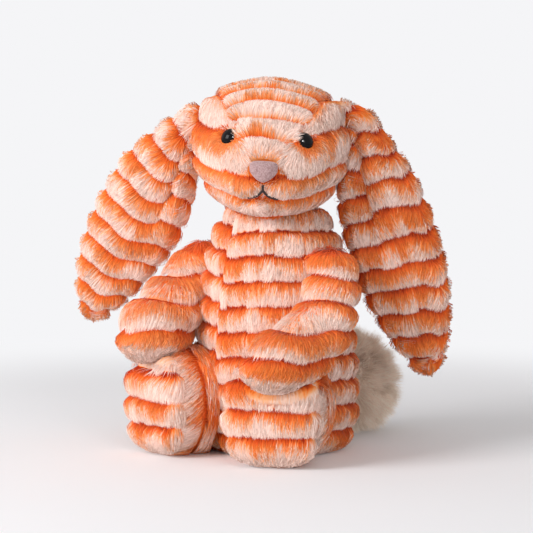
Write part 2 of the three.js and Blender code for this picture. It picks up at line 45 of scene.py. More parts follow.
VIEW_TURN = math.radians(35)
VIEW_DROP = math.radians(4.44)
VIEW_PLACE = (0.57004, -0.82163, 0.170)
VIEW_FOCAL_PIXELS = 1970
VIEW_PIXELS = 533
SENSOR = 36
BACKDROP = (0.913, 0.913, 0.93, 1)
TABLE_WHITE = (0.93, 0.93, 0.96, 1)
TABLE_SIZE = 12
TABLE_NEAR = 0.2  # how far from the toy the table starts to turn into the backdrop
TABLE_FAR = 0.5  # and where it has done so
LAMP_AIM = np.array([0, 0, 0.1])
SKY_TINT = (1, 0.98, 0.96, 1)
SKY_STRENGTH = 0.5


class Value:
    """A socket of a node. Sums and products of values add Math nodes."""

    def __init__(self, nodes, socket):
        self.nodes = nodes
        self.socket = socket

    def join(self, operation, first, second):
        """The result of a Math node."""
        return self.nodes.node("Math", {"operation": operation}, {0: first, 1: second})

    def __add__(self, other):
        return self.join("ADD", self, other)

    def __sub__(self, other):
        return self.join("SUBTRACT", self, other)

    def __rsub__(self, other):
        return self.join("SUBTRACT", other, self)

    def __mul__(self, other):
        return self.join("MULTIPLY", self, other)

    __radd__ = __add__
    __rmul__ = __mul__


class Nodes:
    """A node tree in which one call makes a node from its type, its settings and what its sockets get."""

    def __init__(self, tree):
        self.tree = tree

    def feed(self, socket, given):
        """Links a value to a socket, or sets the socket to a plain number, colour or vector."""
        if isinstance(given, Value):
            self.tree.links.new(given.socket, socket)
        else:
            socket.default_value = given

    def node(self, kind, settings=None, sockets=None, output=0):
        """Makes a node and gives one of its outputs as a value."""
        made = self.tree.nodes.new("ShaderNode" + kind)
        for name, setting in (settings or {}).items():
            if name == "stops":
                self.stop(made.color_ramp, setting)
            else:
                setattr(made, name, setting)
        for name, given in (sockets or {}).items():
            self.feed(made.inputs[name], given)
        return Value(self, made.outputs[output])

    def stop(self, ramp, stops):
        """Gives a colour ramp its stops."""
        while len(ramp.elements) < len(stops):
            ramp.elements.new(1)
        for element, (place, colour) in zip(ramp.elements, stops):
            element.position = place
            element.color = colour

    def end(self, name, given):
        """Feeds the tree's own output node."""
        last = next(n for n in self.tree.nodes if n.bl_idname.startswith("ShaderNodeOutput"))
        self.feed(last.inputs[name], given)


def finish(name, surface, *given):
    """A new material whose Principled shader takes what surface(nodes, *given) says for its sockets."""
    material = bpy.data.materials.new(name)
    material.use_nodes = True
    nodes = Nodes(material.node_tree)
    shader = material.node_tree.nodes["Principled BSDF"]
    for socket, value in surface(nodes, *given).items():
        nodes.feed(shader.inputs[socket], value)
    return material


def matte(nodes, colour):
    """One dull colour."""
    return {"Base Color": colour, "Roughness": 0.9}


def table_top(name):
    """The table's material: matte white near the toy, and to the camera plain backdrop further out."""
    material = finish(name, matte, TABLE_WHITE)
    nodes = Nodes(material.node_tree)
    white = Value(nodes, material.node_tree.nodes["Principled BSDF"].outputs[0])
    place = nodes.node("TexCoord", output="Object")
    reach = nodes.node("VectorMath", {"operation": "LENGTH"}, {0: place}, "Value")
    far = nodes.node(
        "MapRange",
        {"interpolation_type": "SMOOTHERSTEP"},
        {"Value": reach, "From Min": TABLE_NEAR, "From Max": TABLE_FAR},
    )
    seen = nodes.node("LightPath", output="Is Camera Ray")
    plain = nodes.node("Emission", sockets={"Color": BACKDROP})
    nodes.end("Surface", nodes.node("MixShader", sockets={0: far * seen, 1: white, 2: plain}))
    return material


camera_data = bpy.data.cameras.new("camera")
camera_data.sensor_width = SENSOR
camera_data.lens = SENSOR * VIEW_FOCAL_PIXELS / VIEW_PIXELS
camera = bpy.data.objects.new("camera", camera_data)
camera.location = VIEW_PLACE
camera.rotation_euler = (math.pi / 2 - VIEW_DROP, 0, VIEW_TURN)
bpy.context.scene.collection.objects.link(camera)
bpy.context.scene.camera = camera
bpy.context.scene.view_settings.view_transform = "Standard"

half = TABLE_SIZE / 2
table_corners = [(-half, -half, 0), (half, -half, 0), (half, half, 0), (-half, half, 0)]
table_mesh = bpy.data.meshes.new("table")
table_mesh.from_pydata(table_corners, [], [(0, 1, 2, 3)])
table = bpy.data.objects.new("table", table_mesh)
table.data.materials.append(table_top("table_white"))
bpy.context.scene.collection.objects.link(table)


def lamp(name, left, near, up, size, power):
    """An area lamp that faces the toy, placed to the camera's left, towards the camera and up, in metres."""
    data = bpy.data.lights.new(name, "AREA")
    data.size = size
    data.energy = power
    made = bpy.data.objects.new(name, data)
    right_way = np.array([math.cos(VIEW_TURN), math.sin(VIEW_TURN), 0])
    near_way = np.array([math.sin(VIEW_TURN), -math.cos(VIEW_TURN), 0])
    place = near_way * near - right_way * left + np.array([0, 0, up])
    made.location = place
    aim = LAMP_AIM - place
    tilt = math.acos(-aim[2] / np.linalg.norm(aim))
    made.rotation_euler = (tilt, 0, math.atan2(aim[1], aim[0]) - math.pi / 2)
    bpy.context.scene.collection.objects.link(made)
    return made


lamp("key", left=1.05, near=0.62, up=0.76, size=0.65, power=12.6)
lamp("fill", left=-0.45, near=1.2, up=0.55, size=0.35, power=2)
catch = lamp("catch", left=-0.2, near=1.2, up=0.7, size=0.3, power=26)
catch.visible_diffuse = False  # it only glints in the eyes, and lights no cloth

world = bpy.data.worlds.new("world")
world.use_nodes = True
bpy.context.scene.world = world
sky = Nodes(world.node_tree)
seen_sky = sky.node("LightPath", output="Is Camera Ray")
glint_sky = sky.node("LightPath", output="Is Glossy Ray")
all_round = sky.node("Background", sockets={"Color": SKY_TINT, "Strength": SKY_STRENGTH})
plain_sky = sky.node("Background", sockets={"Color": BACKDROP})
sky.end("Surface", sky.node("MixShader", sockets={0: seen_sky + glint_sky, 1: all_round, 2: plain_sky}))

# Body
# A pear-shaped bag of row-cut plush, sewn from panels with the nap running down and stuffed firmly.
# Its underside is pressed flat by the pellet pouch, and its neck goes up into the head.

MM = 0.001
UP = np.array([0, 0, 1.0])
SLOPE_STEP = 0.002  # step in u and in v over which slopes are taken
STEEP_RISE = 400  # greatest change of a count of rows with u or v: the step from panel to panel is no slope
BASE_ROW = 20  # number of the row whose place is given, high enough that no row's is below 0
PILE = 4.5  # height of the pile above its backing, in mm as all sizes below
CREST_PLACE = 0.5  # where in a row the pile is highest
CREST_DROP = 0.32  # how much lower it is at the row's end
GROUND_SHARE = 0.72  # height of the cloth under the pile, as a share of the crest
LOW_TONE = 0.32  # tone that a row reaches before its pale part starts
DRIFT_WAVES = [(0.1, 7.1, 2.4), (0.08, 3.3, 4.1), (0.08, 15.7, 1.7)]  # height, length over 2 pi, start by row
FINE_TUFT = 1.1
BROAD_TUFT = 6.5
ROOT_END = 0.94  # no strand starts later in its row than this
STEEPEST = 0.25  # rows to a mm above which the cloth folds into a seam, and has no strands
STRAND_FLOOR = 0.2
# The dark end's warm tint is painted light, bounced between strands in their shade.
STRAND_DARK = (0.56, 0.45, 0.38, 1)  # what the darkest and the lightest strands' colours are multiplied by
STRAND_LIGHT = (1.28, 1.28, 1.28, 1)
BODY_HALF_WIDTH = 43
BODY_HALF_DEPTH = 42
BODY_PROFILE = [
    (1, 127.5), (14, 125), (25, 119.5), (30.5, 112), (34, 103.4), (37.4, 86.6), (40.4, 65), (42.6, 42.2),
    (43, 25.4), (42, 13), (37.5, 4), (28, 0.3), (14, 0.1), (1, 0),
]
BODY_ROW = 12.4
BODY_FIRST_EDGE = 100.3
BODY_SEAM = 0.54  # fraction of the way round, from the back, of the seam in front
SEAM_OFFSET = 0.3  # in rows
PILE_DENSITY = 3.4  # strands to a square mm
PILE_LENGTH = 7.5
PILE_HALF_WIDTH = 0.2
# The two darkest stops, which the creases get, are painted crease shade; the rest are the dye and pale tips.
ORANGE_AND_CREASE_SHADE_STOPS = [
    (0, (0.38, 0.018, 0.003, 1)),
    (0.2, (0.84, 0.125, 0.013, 1)),
    (0.36, (0.94, 0.25, 0.042, 1)),
    (0.58, (0.97, 0.44, 0.19, 1)),
    (0.78, (0.95, 0.61, 0.46, 1)),
    (1, (0.935, 0.76, 0.7, 1)),
]


def unit(vectors):
    """Each vector over its own length."""
    return vectors / np.maximum(np.linalg.norm(vectors, axis=-1, keepdims=True), 1e-9)


def ease(low, high, values):
    """0 up to low, 1 from high on, and 3t^2 - 2t^3 between."""
    t = np.clip((values - low) / (high - low), 0, 1)
    return t * t * (3 - 2 * t)


def through(values, t):
    """The smooth curve through evenly spaced values, at fraction t: cubics that share their slopes."""
    values = np.asarray(values, float)
    last = len(values) - 1
    place = np.clip(t, 0, 1) * last
    index = np.minimum(place.astype(int), last - 1)
    f = place - index
    if values.ndim > 1:
        f = f[..., None]
    a, b, c, d = (values[np.clip(index + k, 0, last)] for k in (-1, 0, 1, 2))
    return b + 0.5 * f * (c - a + f * (2 * a - 5 * b + 4 * c - d + f * (3 * (b - c) + d - a)))


def by_length(points, samples=600):
    """A reader of the smooth curve through points by the fraction of its length, and that length."""
    dense = through(points, np.linspace(0, 1, samples))
    run = np.concatenate([[0], np.cumsum(np.linalg.norm(np.diff(dense, axis=0), axis=1))])

    def read(t):
        """The curve's points at fractions t of its length."""
        return np.stack([np.interp(t * run[-1], run, column) for column in dense.T], axis=-1)

    return read, run[-1]


def everywhere(value):
    """A function of u and v: value itself where it is one, and otherwise the same value everywhere."""
    return value if callable(value) else lambda u, v: np.full_like(u, value)


def grid(around, along, end=0.004):
    """Evenly spaced u round a piece and v along it, which stops short of both ends."""
    return np.meshgrid(np.arange(around) / around, np.linspace(end, 1 - end, along))


class Plush:
    """Row-cut plush on a stuffed form.

    form(u, v) gives the backing's points, rows(u, v) counts the rows of pile along the nap, across(u, v) is
    the place along a row in mm, full(u, v) is 1, or less where seams draw the pile down, pale(u, v) is how
    much earlier in a row its pale part starts, lift(u, v) how much lighter its orange is, least(u, v) the
    least height of the pile as a share of its crest, and pull(u, v) a vector added to the nap."""

    def __init__(self, form, rows, across, full=1, pale=0, lift=0, least=0, pull=None):
        self.form = form
        self.rows = rows
        self.across = across
        self.full = everywhere(full)
        self.pale = everywhere(pale)
        self.lift = everywhere(lift)
        self.least = everywhere(least)
        self.pull = pull
        self.side = 1
        u, v = np.meshgrid(np.linspace(0, 1, 48), np.linspace(0.02, 0.98, 48))
        points = form(u, v)
        outward = (self.sides(u, v)[2] * (points - points.mean((0, 1)))).sum()
        self.side = np.sign(outward)

    def sides(self, u, v, e=SLOPE_STEP):
        """The changes of the point with u and with v, and their cross product."""
        along_u = (self.form(u + e, v) - self.form(u - e, v)) / (2 * e)
        along_v = (self.form(u, v + e) - self.form(u, v - e)) / (2 * e)
        return along_u, along_v, np.cross(along_u, along_v) * self.side

    def lie(self, u, v, e=SLOPE_STEP):
        """Normal, nap, and the steps in u and v for 1 mm along the nap, and rows for 1 mm.

        The nap goes the steepest way up the count of rows: its steps are the inverse of the matrix of
        the sides' products times the count's changes with u and v."""
        along_u, along_v, normal = self.sides(u, v)
        rise_u = np.clip((self.rows(u + e, v) - self.rows(u - e, v)) / (2 * e), -STEEP_RISE, STEEP_RISE)
        rise_v = np.clip((self.rows(u, v + e) - self.rows(u, v - e)) / (2 * e), -STEEP_RISE, STEEP_RISE)
        uu = (along_u * along_u).sum(-1)
        uv = (along_u * along_v).sum(-1)
        vv = (along_v * along_v).sum(-1)
        whole = np.maximum(uu * vv - uv * uv, 1e-6)
        step_u = (vv * rise_u - uv * rise_v) / whole
        step_v = (uu * rise_v - uv * rise_u) / whole
        nap = along_u * step_u[..., None] + along_v * step_v[..., None]
        steep = np.maximum(np.linalg.norm(nap, axis=-1), 1e-6)
        normal = unit(normal)
        nap = nap / steep[..., None]
        if self.pull is not None:
            nap = nap + self.pull(u, v)
            nap = unit(nap - normal * (nap * normal).sum(-1, keepdims=True))
        side_u = (nap * along_u).sum(-1)
        side_v = (nap * along_v).sum(-1)
        return normal, nap, (vv * side_u - uv * side_v) / whole, (uu * side_v - uv * side_u) / whole, steep


def crest(phase):
    """Height of the pile's tips by the place in a row: up a quarter sine, then down as a parabola."""
    rise = np.sin(np.pi / 2 * np.clip(phase / CREST_PLACE, 0, 1))
    return np.maximum(rise - CREST_DROP * np.maximum(phase / CREST_PLACE - 1, 0) ** 2, 0)


def ground(phase):
    """Height of the cloth under the pile: a share of the crest, down to the crease at the row's end."""
    return GROUND_SHARE * crest(phase) * (1 - ease(0.8, 1, phase))


def stripe(phase, sway):
    """Tone along a row: 0 at the crease, the orange darkest there as painted shade, to pale, 1, at the tips.
    """
    return LOW_TONE * ease(0.04, 0.42, phase) + (1 - LOW_TONE) * ease(0.33, 0.86, phase + sway)


def drift(place, row):
    """Slow sway of the stripe's border along a row: three sines whose start differs from row to row."""
    return sum(high * np.sin(place / long + row * start) for high, long, start in DRIFT_WAVES)


def put(name, points, corners, sizes, maps, numbers=None):
    """A mesh object from arrays: points in mm, faces' corners and sizes, UV maps and numbers by point."""
    mesh = bpy.data.meshes.new(name)
    mesh.vertices.add(len(points))
    mesh.vertices.foreach_set("co", (points * MM).astype(np.float32).ravel())
    mesh.loops.add(len(corners))
    mesh.loops.foreach_set("vertex_index", corners.astype(np.int32))
    mesh.polygons.add(len(sizes))
    mesh.polygons.foreach_set("loop_start", (np.cumsum(sizes) - sizes).astype(np.int32))
    mesh.polygons.foreach_set("use_smooth", np.ones(len(sizes), bool))
    for title, places in maps.items():
        layer = mesh.uv_layers.new(name=title)
        layer.uv.foreach_set("vector", places.astype(np.float32).ravel())
    for title, values in (numbers or {}).items():
        attribute = mesh.attributes.new(title, "FLOAT", "POINT")
        attribute.data.foreach_set("value", values.astype(np.float32).ravel())
    mesh.update(calc_edges=True)
    made = bpy.data.objects.new(name, mesh)
    bpy.context.scene.collection.objects.link(made)
    return made


def shell(name, points, flip, other_map=None, numbers=None):
    """A closed mesh from a grid of points, rows of rings: quads between rings, and a fan at each end."""
    rings, around, _ = points.shape
    ring, spoke = np.meshgrid(np.arange(rings - 1), np.arange(around), indexing="ij")
    after = (spoke + 1) % around
    here = ring * around
    above = here + around
    quads = np.stack([here + spoke, here + after, above + after, above + spoke], -1)
    across = np.stack([spoke, spoke + 1, spoke + 1, spoke], -1) / around
    along = np.stack([ring, ring, ring + 1, ring + 1], -1) / (rings - 1)
    count = rings * around
    turn = np.arange(around)
    first = np.stack([turn * 0 + count, (turn + 1) % around, turn], -1)
    last = np.stack([turn * 0 + count + 1, count - around + turn, count - around + (turn + 1) % around], -1)
    fan = np.stack([turn + 0.5, turn + 1, turn], -1) / around
    ends = np.stack([turn + 0.5, turn, turn + 1], -1) / around
    corners = [quads.reshape(-1, 4), first, last]
    places = [
        np.stack([across, along], -1).reshape(-1, 4, 2),
        np.stack([fan, fan * 0], -1),
        np.stack([ends, ends * 0 + 1], -1),
    ]
    if flip:
        corners = [c[:, ::-1] for c in corners]
        places = [p[:, ::-1] for p in places]
    every = np.concatenate([points.reshape(-1, 3), points[:1].mean(1), points[-1:].mean(1)])
    sizes = np.concatenate([np.full(len(c), c.shape[1]) for c in corners])
    corners = np.concatenate([c.ravel() for c in corners])
    places = np.concatenate([p.reshape(-1, 2) for p in places])
    maps = {"OFBake": places}
    if other_map is not None:
        whole = np.concatenate([other_map.reshape(-1, 2), other_map[:1].mean(1), other_map[-1:].mean(1)])
        maps["rows"] = whole[corners]
    filled = {}
    for title, values in (numbers or {}).items():
        filled[title] = np.concatenate([values.ravel(), values[:1].mean(1), values[-1:].mean(1)])
    return put(name, every, corners, sizes, maps, numbers=filled)


def skin(name, plush, around, along):
    """The stuffed cloth under the pile: the form, raised along its normals by the rows' ground height."""
    u, v = grid(around, along)
    normal = plush.lie(u, v)[0]
    count = plush.rows(u, v)
    phase = count - np.floor(count)
    place = plush.across(u, v)
    height = PILE * np.maximum(ground(phase), GROUND_SHARE * plush.least(u, v)) * plush.full(u, v)
    points = plush.form(u, v) + normal * height[..., None]
    points[..., 2] = np.maximum(points[..., 2], 0)
    lift = plush.lift(u, v)
    tone = lift + (1 - lift) * stripe(phase, drift(place, np.floor(count)) + plush.pale(u, v))
    # Where seams and the eye sockets draw the pile down, the cloth goes to deep orange: painted shade in
    # those hollows.
    tone = tone * np.clip(plush.full(u, v) * 1.3, 0, 1)
    rows_map = np.stack([place / 10, count], -1)
    return shell(name, points, plush.side < 0, rows_map, {"tone": tone})


def strands(name, points, look):
    """Kites from their four corners, root, left, right and tip: points, and tone and shade."""
    points[..., 2] = np.maximum(points[..., 2], STRAND_FLOOR)
    look = np.clip(look, 0.01, 0.99).reshape(-1, 2)
    first = np.arange(len(points))[:, None] * 4
    corners = np.concatenate([(first + np.array([0, 2, 1])).ravel(), (first + np.array([1, 2, 3])).ravel()])
    maps = {"OFBake": look[corners], "pile": look[corners]}
    made = put(name, points.reshape(-1, 3), corners, np.full(2 * len(points), 3), maps)
    made.visible_shadow = False
    return made


def tufts(draw, place, row, width):
    """A random number for the tuft that each place along a row is in, and how far off its middle lies."""
    shift = draw.random(64)[row % 64]
    numbers = draw.random((64, 256))
    cell = np.floor(place / width + shift).astype(int)
    return numbers[row % 64, cell % 256], (cell + 0.5 - shift) * width - place


def pile(name, plush, seed, hidden=None, room=None, density=PILE_DENSITY, length=PILE_LENGTH):
    """Cut pile as thin kites, each bent at its widest place: a root, two middle corners and a tip.

    Roots are spread evenly over the cloth. A kite lies along the nap, rides at the crest height of the
    places that it passes, leans to the middle of its tuft and ends just past its row."""
    draw = np.random.default_rng(seed)
    u, v = np.meshgrid(np.linspace(0, 1, 90), np.linspace(0.01, 0.99, 90))
    most = np.linalg.norm(plush.sides(u, v)[2], axis=-1).max()
    count = int(density * most)
    u = draw.random(count)
    v = draw.random(count) * 0.985 + 0.005
    kept = draw.random(count) * most < np.linalg.norm(plush.sides(u, v)[2], axis=-1)
    rows = plush.rows(u, v)
    kept &= rows - np.floor(rows) < ROOT_END
    kept &= plush.lie(u, v)[4] < STEEPEST
    if hidden is not None:
        kept &= ~hidden(plush.form(u, v), u, v)
    u = u[kept]
    v = v[kept]
    row = np.floor(rows[kept]).astype(int)
    phase = rows[kept] - row
    place = plush.across(u, v)
    normal, nap, step_u, step_v, steep = plush.lie(u, v)
    steep = np.clip(steep, 0.04, 0.2)
    fine = tufts(draw, place, row, FINE_TUFT)[0]
    broad, broad_off = tufts(draw, place, row, BROAD_TUFT)
    # each strand has its own length, colour, twist and lean
    own = draw.random((4, len(u)))
    reach = length * (0.75 + 0.2 * fine + 0.4 * own[0])
    reach = np.minimum(reach, (0.94 + 0.17 * broad + 0.05 * fine + 0.12 * own[1] - phase) / steep)
    full = plush.full(u, v)
    if room is not None:
        reach = np.minimum(reach, room(u, v))
    reach = np.maximum(reach, 0.8)
    lift = plush.lift(u, v)
    least = plush.least(u, v)
    # tufts and single strands turn pale sooner or later than their row
    sway = drift(place, row) + plush.pale(u, v)
    sway = sway + 0.2 * (fine - 0.5) + 0.46 * (own[1] - 0.5) + 0.36 * (broad - 0.5)
    side = np.cross(nap, normal)
    lean = 0.12 * broad_off + (broad - 0.5) * 1.6 + (own[3] - 0.5) * 2.0
    twist = (own[2] - 0.5) * 1.4
    half_width = PILE_HALF_WIDTH * (0.75 + 0.5 * own[3])
    flat = side * np.cos(twist)[:, None] + normal * np.sin(twist)[:, None]
    points = []
    looks = []
    for share, hands in ((0, (0,)), (0.45, (-1, 1)), (1, (0,))):
        run = reach * share
        there_u = u + step_u * run
        there_v = np.clip(v + step_v * run, 0.001, 0.999)
        there = phase + run * steep
        up = plush.lie(there_u, there_v)[0]
        height = PILE * (np.maximum(crest(there), least) * (0.84 + 0.36 * own[0]) + 0.06 * share)
        if share == 0:
            height = PILE * ground(phase) * 0.6
        middle = plush.form(there_u, there_v) + up * (height * full)[:, None]
        middle = middle + side * (lean * share ** 1.3)[:, None]
        # Strands are lighter or darker by chance and by tuft, and darker towards the root: painted shade at
        # the roots.
        shade = 0.5 + 0.5 * (own[3] - 0.5) + 0.2 * (broad - 0.5) + 0.2 * (share - 0.7)
        for hand in hands:
            points.append(middle + flat * (half_width * hand)[:, None])
            looks.append(np.stack([lift + (1 - lift) * stripe(there, sway), shade + 0.03 * hand], -1))
    return strands(name, np.stack(points, 1), np.stack(looks, 1))


def striped(nodes, stops):
    """Pile: its colour by tone, made lighter or darker strand by strand, and darker at the roots as painted
    shade.
    """
    look = nodes.node("UVMap", {"uv_map": "pile"})
    tone = nodes.node("SeparateXYZ", sockets={0: look}, output="X")
    shade = nodes.node("SeparateXYZ", sockets={0: look}, output="Y")
    colour = nodes.node("ValToRGB", {"stops": stops}, {0: tone})
    level = nodes.node("Mix", {"data_type": "RGBA"}, {0: shade, 6: STRAND_DARK, 7: STRAND_LIGHT}, 2)
    times = {"data_type": "RGBA", "blend_type": "MULTIPLY"}
    shown = nodes.node("Mix", times, {0: 1, 6: colour, 7: level}, 2)
    sheen = {"Sheen Weight": 0.25, "Sheen Roughness": 0.4, "Sheen Tint": (1, 0.86, 0.76, 1)}
    return {"Base Color": shown, "Roughness": 0.85, "Specular IOR Level": 0.15, **sheen}


def grained(nodes, tone, stops, height, strength, depth):
    """A colour by tone from colour stops, and a normal bumped by a height, to a depth in metres."""
    colour = nodes.node("ValToRGB", {"stops": stops}, {0: tone})
    bump = nodes.node("Bump", sockets={"Strength": strength, "Distance": depth, "Height": height})
    return {"Base Color": colour, "Normal": bump}


def striped_cloth(nodes):
    """Cloth under the pile: the stripe by the piece's own tone, streaked along the nap, a little bumpy."""
    tone = nodes.node("Attribute", {"attribute_name": "tone"}, output="Fac")
    place = nodes.node("UVMap", {"uv_map": "rows"})
    stretched = nodes.node("VectorMath", {"operation": "MULTIPLY"}, {0: place, 1: (14, 3, 1)})
    flat = {"noise_dimensions": "2D"}
    streak = nodes.node("TexNoise", flat, {"Vector": stretched, "Scale": 1, "Detail": 2})
    surface = grained(nodes, tone * 0.8 + (streak - 0.5) * 0.5, ORANGE_AND_CREASE_SHADE_STOPS, streak, 0.6, 0.001)
    return {"Roughness": 0.9, "Specular IOR Level": 0.1, **surface}


pile_look = finish("striped_pile", striped, ORANGE_AND_CREASE_SHADE_STOPS)
cloth_look = finish("striped_cloth", striped_cloth)


def dress(made, look, body, stands_for=()):
    """Gives a piece its material, the body that it rides on and the solids that it stands for."""
    made.data.materials.append(look)
    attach(made, body)
    if stands_for:
        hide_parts(*stands_for)


def cover(name, plush, mover, solid, mesh, fill, seed, hidden=None, **settings):
    """The cloth and the pile of a plush piece, which rides on the body mover and stands for a solid."""
    cloth = skin(f"{name}_plush", plush, *mesh)
    dress(cloth, cloth_look, mover, [solid])
    strands_made = pile(f"{name}_pile", plush, seed, hidden, **settings)
    dress(strands_made, pile_look, mover)


body_line, body_run = by_length(BODY_PROFILE)
body_heights = body_line(np.linspace(0, 1, 500))[:, 1]
body_radii = body_line(np.linspace(0, 1, 500))[:, 0]
EDGE_RUN = np.interp(-BODY_FIRST_EDGE, -body_heights, np.linspace(0, 1, 500)) * body_run


def body_form(u, v):
    """The pear, less the pile: the profile turned about the upright axis, a little flat front to back."""
    profile = body_line(v)
    radius = np.maximum(profile[..., 0] - PILE, 0.3)
    angle = 2 * np.pi * u
    depth = BODY_HALF_DEPTH / BODY_HALF_WIDTH
    return np.stack([radius * np.sin(angle), radius * depth * np.cos(angle), profile[..., 1]], -1)


def body_clearance(points):
    """How far points lie outside the pear, measured level, less than 0 inside."""
    depth = BODY_HALF_WIDTH / BODY_HALF_DEPTH
    level = np.hypot(points[..., 0], points[..., 1] * depth)
    return level - np.interp(-points[..., 2], -body_heights, body_radii, left=-50, right=0)


def body_rows(u, v):
    """Rows down the body, with the edges slightly wavy around it and offset from one half to the other."""
    wave = 0.07 * np.sin(6 * np.pi * u + 1) + 0.05 * np.sin(10 * np.pi * u)
    other_half = np.sin(2 * np.pi * (u - BODY_SEAM)) > 0
    return (v * body_run - EDGE_RUN) / BODY_ROW + BASE_ROW + wave + SEAM_OFFSET * other_half


def body_across(u, v):
    """Place along a row: the way round at the widest part."""
    return u * 2 * np.pi * BODY_HALF_WIDTH


def body_full(u, v):
    """Pile is drawn down along the seams in front and behind."""
    gap = np.abs(np.sin(2 * np.pi * (u - BODY_SEAM))) * BODY_HALF_WIDTH
    return 0.5 + 0.5 * ease(0, 3.5, gap)


body = Plush(body_form, body_rows, body_across, body_full)
cover("body", body, "body", "body_skin", (200, 150), 0.8, 11)

# Head
# A plush bag of three panels: a gusset from the nose over the crown, with its nap running back, and two
# cheeks, with theirs running down. The seams between them crease the pile. The muzzle is sculpted by the
# mouth's stitches into two lobes over a chin.

HEAD_CENTRE = np.array([1, -5, 152.5])
HEAD_YAW = math.radians(31)
HEAD_ROLL = math.radians(3)
HEAD_HALF = np.array([40, 38, 35.5])
MUZZLE_CENTRE = np.array([0, -20, -10])
MUZZLE_HALF = np.array([27, 25, 20])
HEAD_PILE = 3.6
HEAD_DENSITY = 4.8  # strands to a square mm, and their length: the face's pile is shorter and denser
HEAD_LENGTH = 6
NECK = np.array([0, -2, 102])
NECK_SOCKET = 28
GUSSET_ROW = math.radians(17.5)
GUSSET_FIRST_EDGE = math.radians(5.5)
GUSSET_BOW = 0.0004  # rows that an edge drops by, for each square mm from the middle
BRIDGE_BOW = 0.0012  # the same between the eyes and the nose, on top
GUSSET_START = math.radians(-8)
GUSSET_TURN = math.radians(220)
GUSSET_HALF_WIDTHS = [8, 15, 20, 23, 26, 27, 26, 24, 20, 14, 6]
CHEEK_EDGES = [-40, -22, -5, 13, 22.5, 30.5, 40]  # depths of the rows' edges below the head's middle
CHEEK_PALE = [0.1, 0.4, -0.02, 0.02, 0.16, 0.05, 0]  # how much paler each of these rows is
CHEEK_BOW = 0.0078  # rise of the edges, for each square mm from the middle
EYE_AZIMUTH = math.radians(30)
EYE_HEIGHT = math.radians(8.5)
EYE_RADIUS = 4.6
EYE_NARROW = 1.2
NOSE_WIDTH = 16
NOSE_HEIGHT = 10.5
NOSE_Z = -10.5
MOUTH_TOP = -17
MOUTH_FORK = -19.5
MOUTH_END = -23.5
MOUTH_HALF_WIDTH = 7
LOBE = (2.2, 10, -17.5, 7, 5)  # swell of a lobe, its place beside and above the middle, and its half sizes
CHIN = (3, 0, -28, 17, 4.5)
CROWN = (3, 28, 22, 11, 10)
FAR = 50  # a gap for places that are nowhere near
EYE_BARE = 0.9  # how far inside an eye's rim the pile stops
EYE_BEHIND = 20  # places further behind an eye than this aren't near it
CHEEK_ROWS = 40  # numbers that the counts of rows start from, so that gusset and cheeks share none
GUSSET_ROWS = BASE_ROW


def turned(points, yaw, roll):
    """Points turned about the front to back axis, Y, by roll, then about the upright axis by yaw."""
    x = points[..., 0] * math.cos(roll) + points[..., 2] * math.sin(roll)
    z = points[..., 2] * math.cos(roll) - points[..., 0] * math.sin(roll)
    y = points[..., 1]
    return np.stack([x * math.cos(yaw) - y * math.sin(yaw), x * math.sin(yaw) + y * math.cos(yaw), z], -1)


def from_head(points):
    """Points of the head's own frame, put in the toy's."""
    return turned(points, HEAD_YAW, HEAD_ROLL) + HEAD_CENTRE


def to_head(points):
    """Points of the toy's frame, put in the head's own."""
    level = turned(points - HEAD_CENTRE, -HEAD_YAW, 0)
    return turned(level, 0, -HEAD_ROLL)


def head_reach(way):
    """How far the head goes out along unit ways: the skull's ellipsoid and the muzzle's, softly joined.

    Each reach is where the ray leaves its ellipsoid. They join as the eighth root of their eighth powers."""
    skull = 1 / np.linalg.norm(way / HEAD_HALF, axis=-1)
    ray = way / MUZZLE_HALF
    start = MUZZLE_CENTRE / MUZZLE_HALF
    a = (ray * ray).sum(-1)
    b = (ray * start).sum(-1)
    inside = b * b - a * ((start * start).sum() - 1)
    muzzle = np.where(inside > 0, (b + np.sqrt(np.maximum(inside, 0))) / a, 0)
    return (skull ** 8 + np.maximum(muzzle, 0) ** 8) ** 0.125


def face_at(x, z):
    """The points of the face straight in front of places beside and above the head's middle, by halving."""
    x, z = np.broadcast_arrays(np.asarray(x, float), np.asarray(z, float))
    near = np.full(x.shape, -2.0 * HEAD_HALF[1])
    far = np.zeros(x.shape)
    for _ in range(40):
        middle = (near + far) / 2
        spot = np.stack([x, middle, z], -1)
        distance = np.linalg.norm(spot, axis=-1)
        outside = distance > head_reach(spot / distance[..., None])
        near = np.where(outside, middle, near)
        far = np.where(outside, far, middle)
    return np.stack([x, near, z], -1)


def face_normal(x, z):
    """The outward way of the face at a place, across the slopes to either side and up and down."""
    across = face_at(x + 2, z) - face_at(x - 2, z)
    up = face_at(x, z + 2) - face_at(x, z - 2)
    return unit(np.cross(across, up))


EYE_WAYS = [
    np.array([
        side * math.sin(EYE_AZIMUTH) * math.cos(EYE_HEIGHT),
        -math.cos(EYE_AZIMUTH) * math.cos(EYE_HEIGHT),
        math.sin(EYE_HEIGHT),
    ])
    for side in (1, -1)
]
EYE_PLACES = [way * head_reach(way) for way in EYE_WAYS]
EYE_NORMALS = [face_normal(place[0], place[2]) for place in EYE_PLACES]
MOUTH_LIP = [
    (0, MOUTH_FORK),
    (0.4 * MOUTH_HALF_WIDTH, MOUTH_FORK + 0.7 * (MOUTH_END - MOUTH_FORK)),
    (MOUTH_HALF_WIDTH, MOUTH_END),
]


def eye_gap(points):
    """Distance out from the nearer eye's rim, square to its axis, with the lids narrowing it sideways."""
    gaps = []
    for place, normal in zip(EYE_PLACES, EYE_NORMALS):
        off = points - place
        along = off @ normal
        level = unit(np.cross(UP, normal))
        beside = (off @ level) * EYE_NARROW
        above = off @ np.cross(normal, level)
        gaps.append(np.hypot(beside, above) - EYE_RADIUS + np.where(along < -EYE_BEHIND, FAR, 0))
    return np.minimum(*gaps)


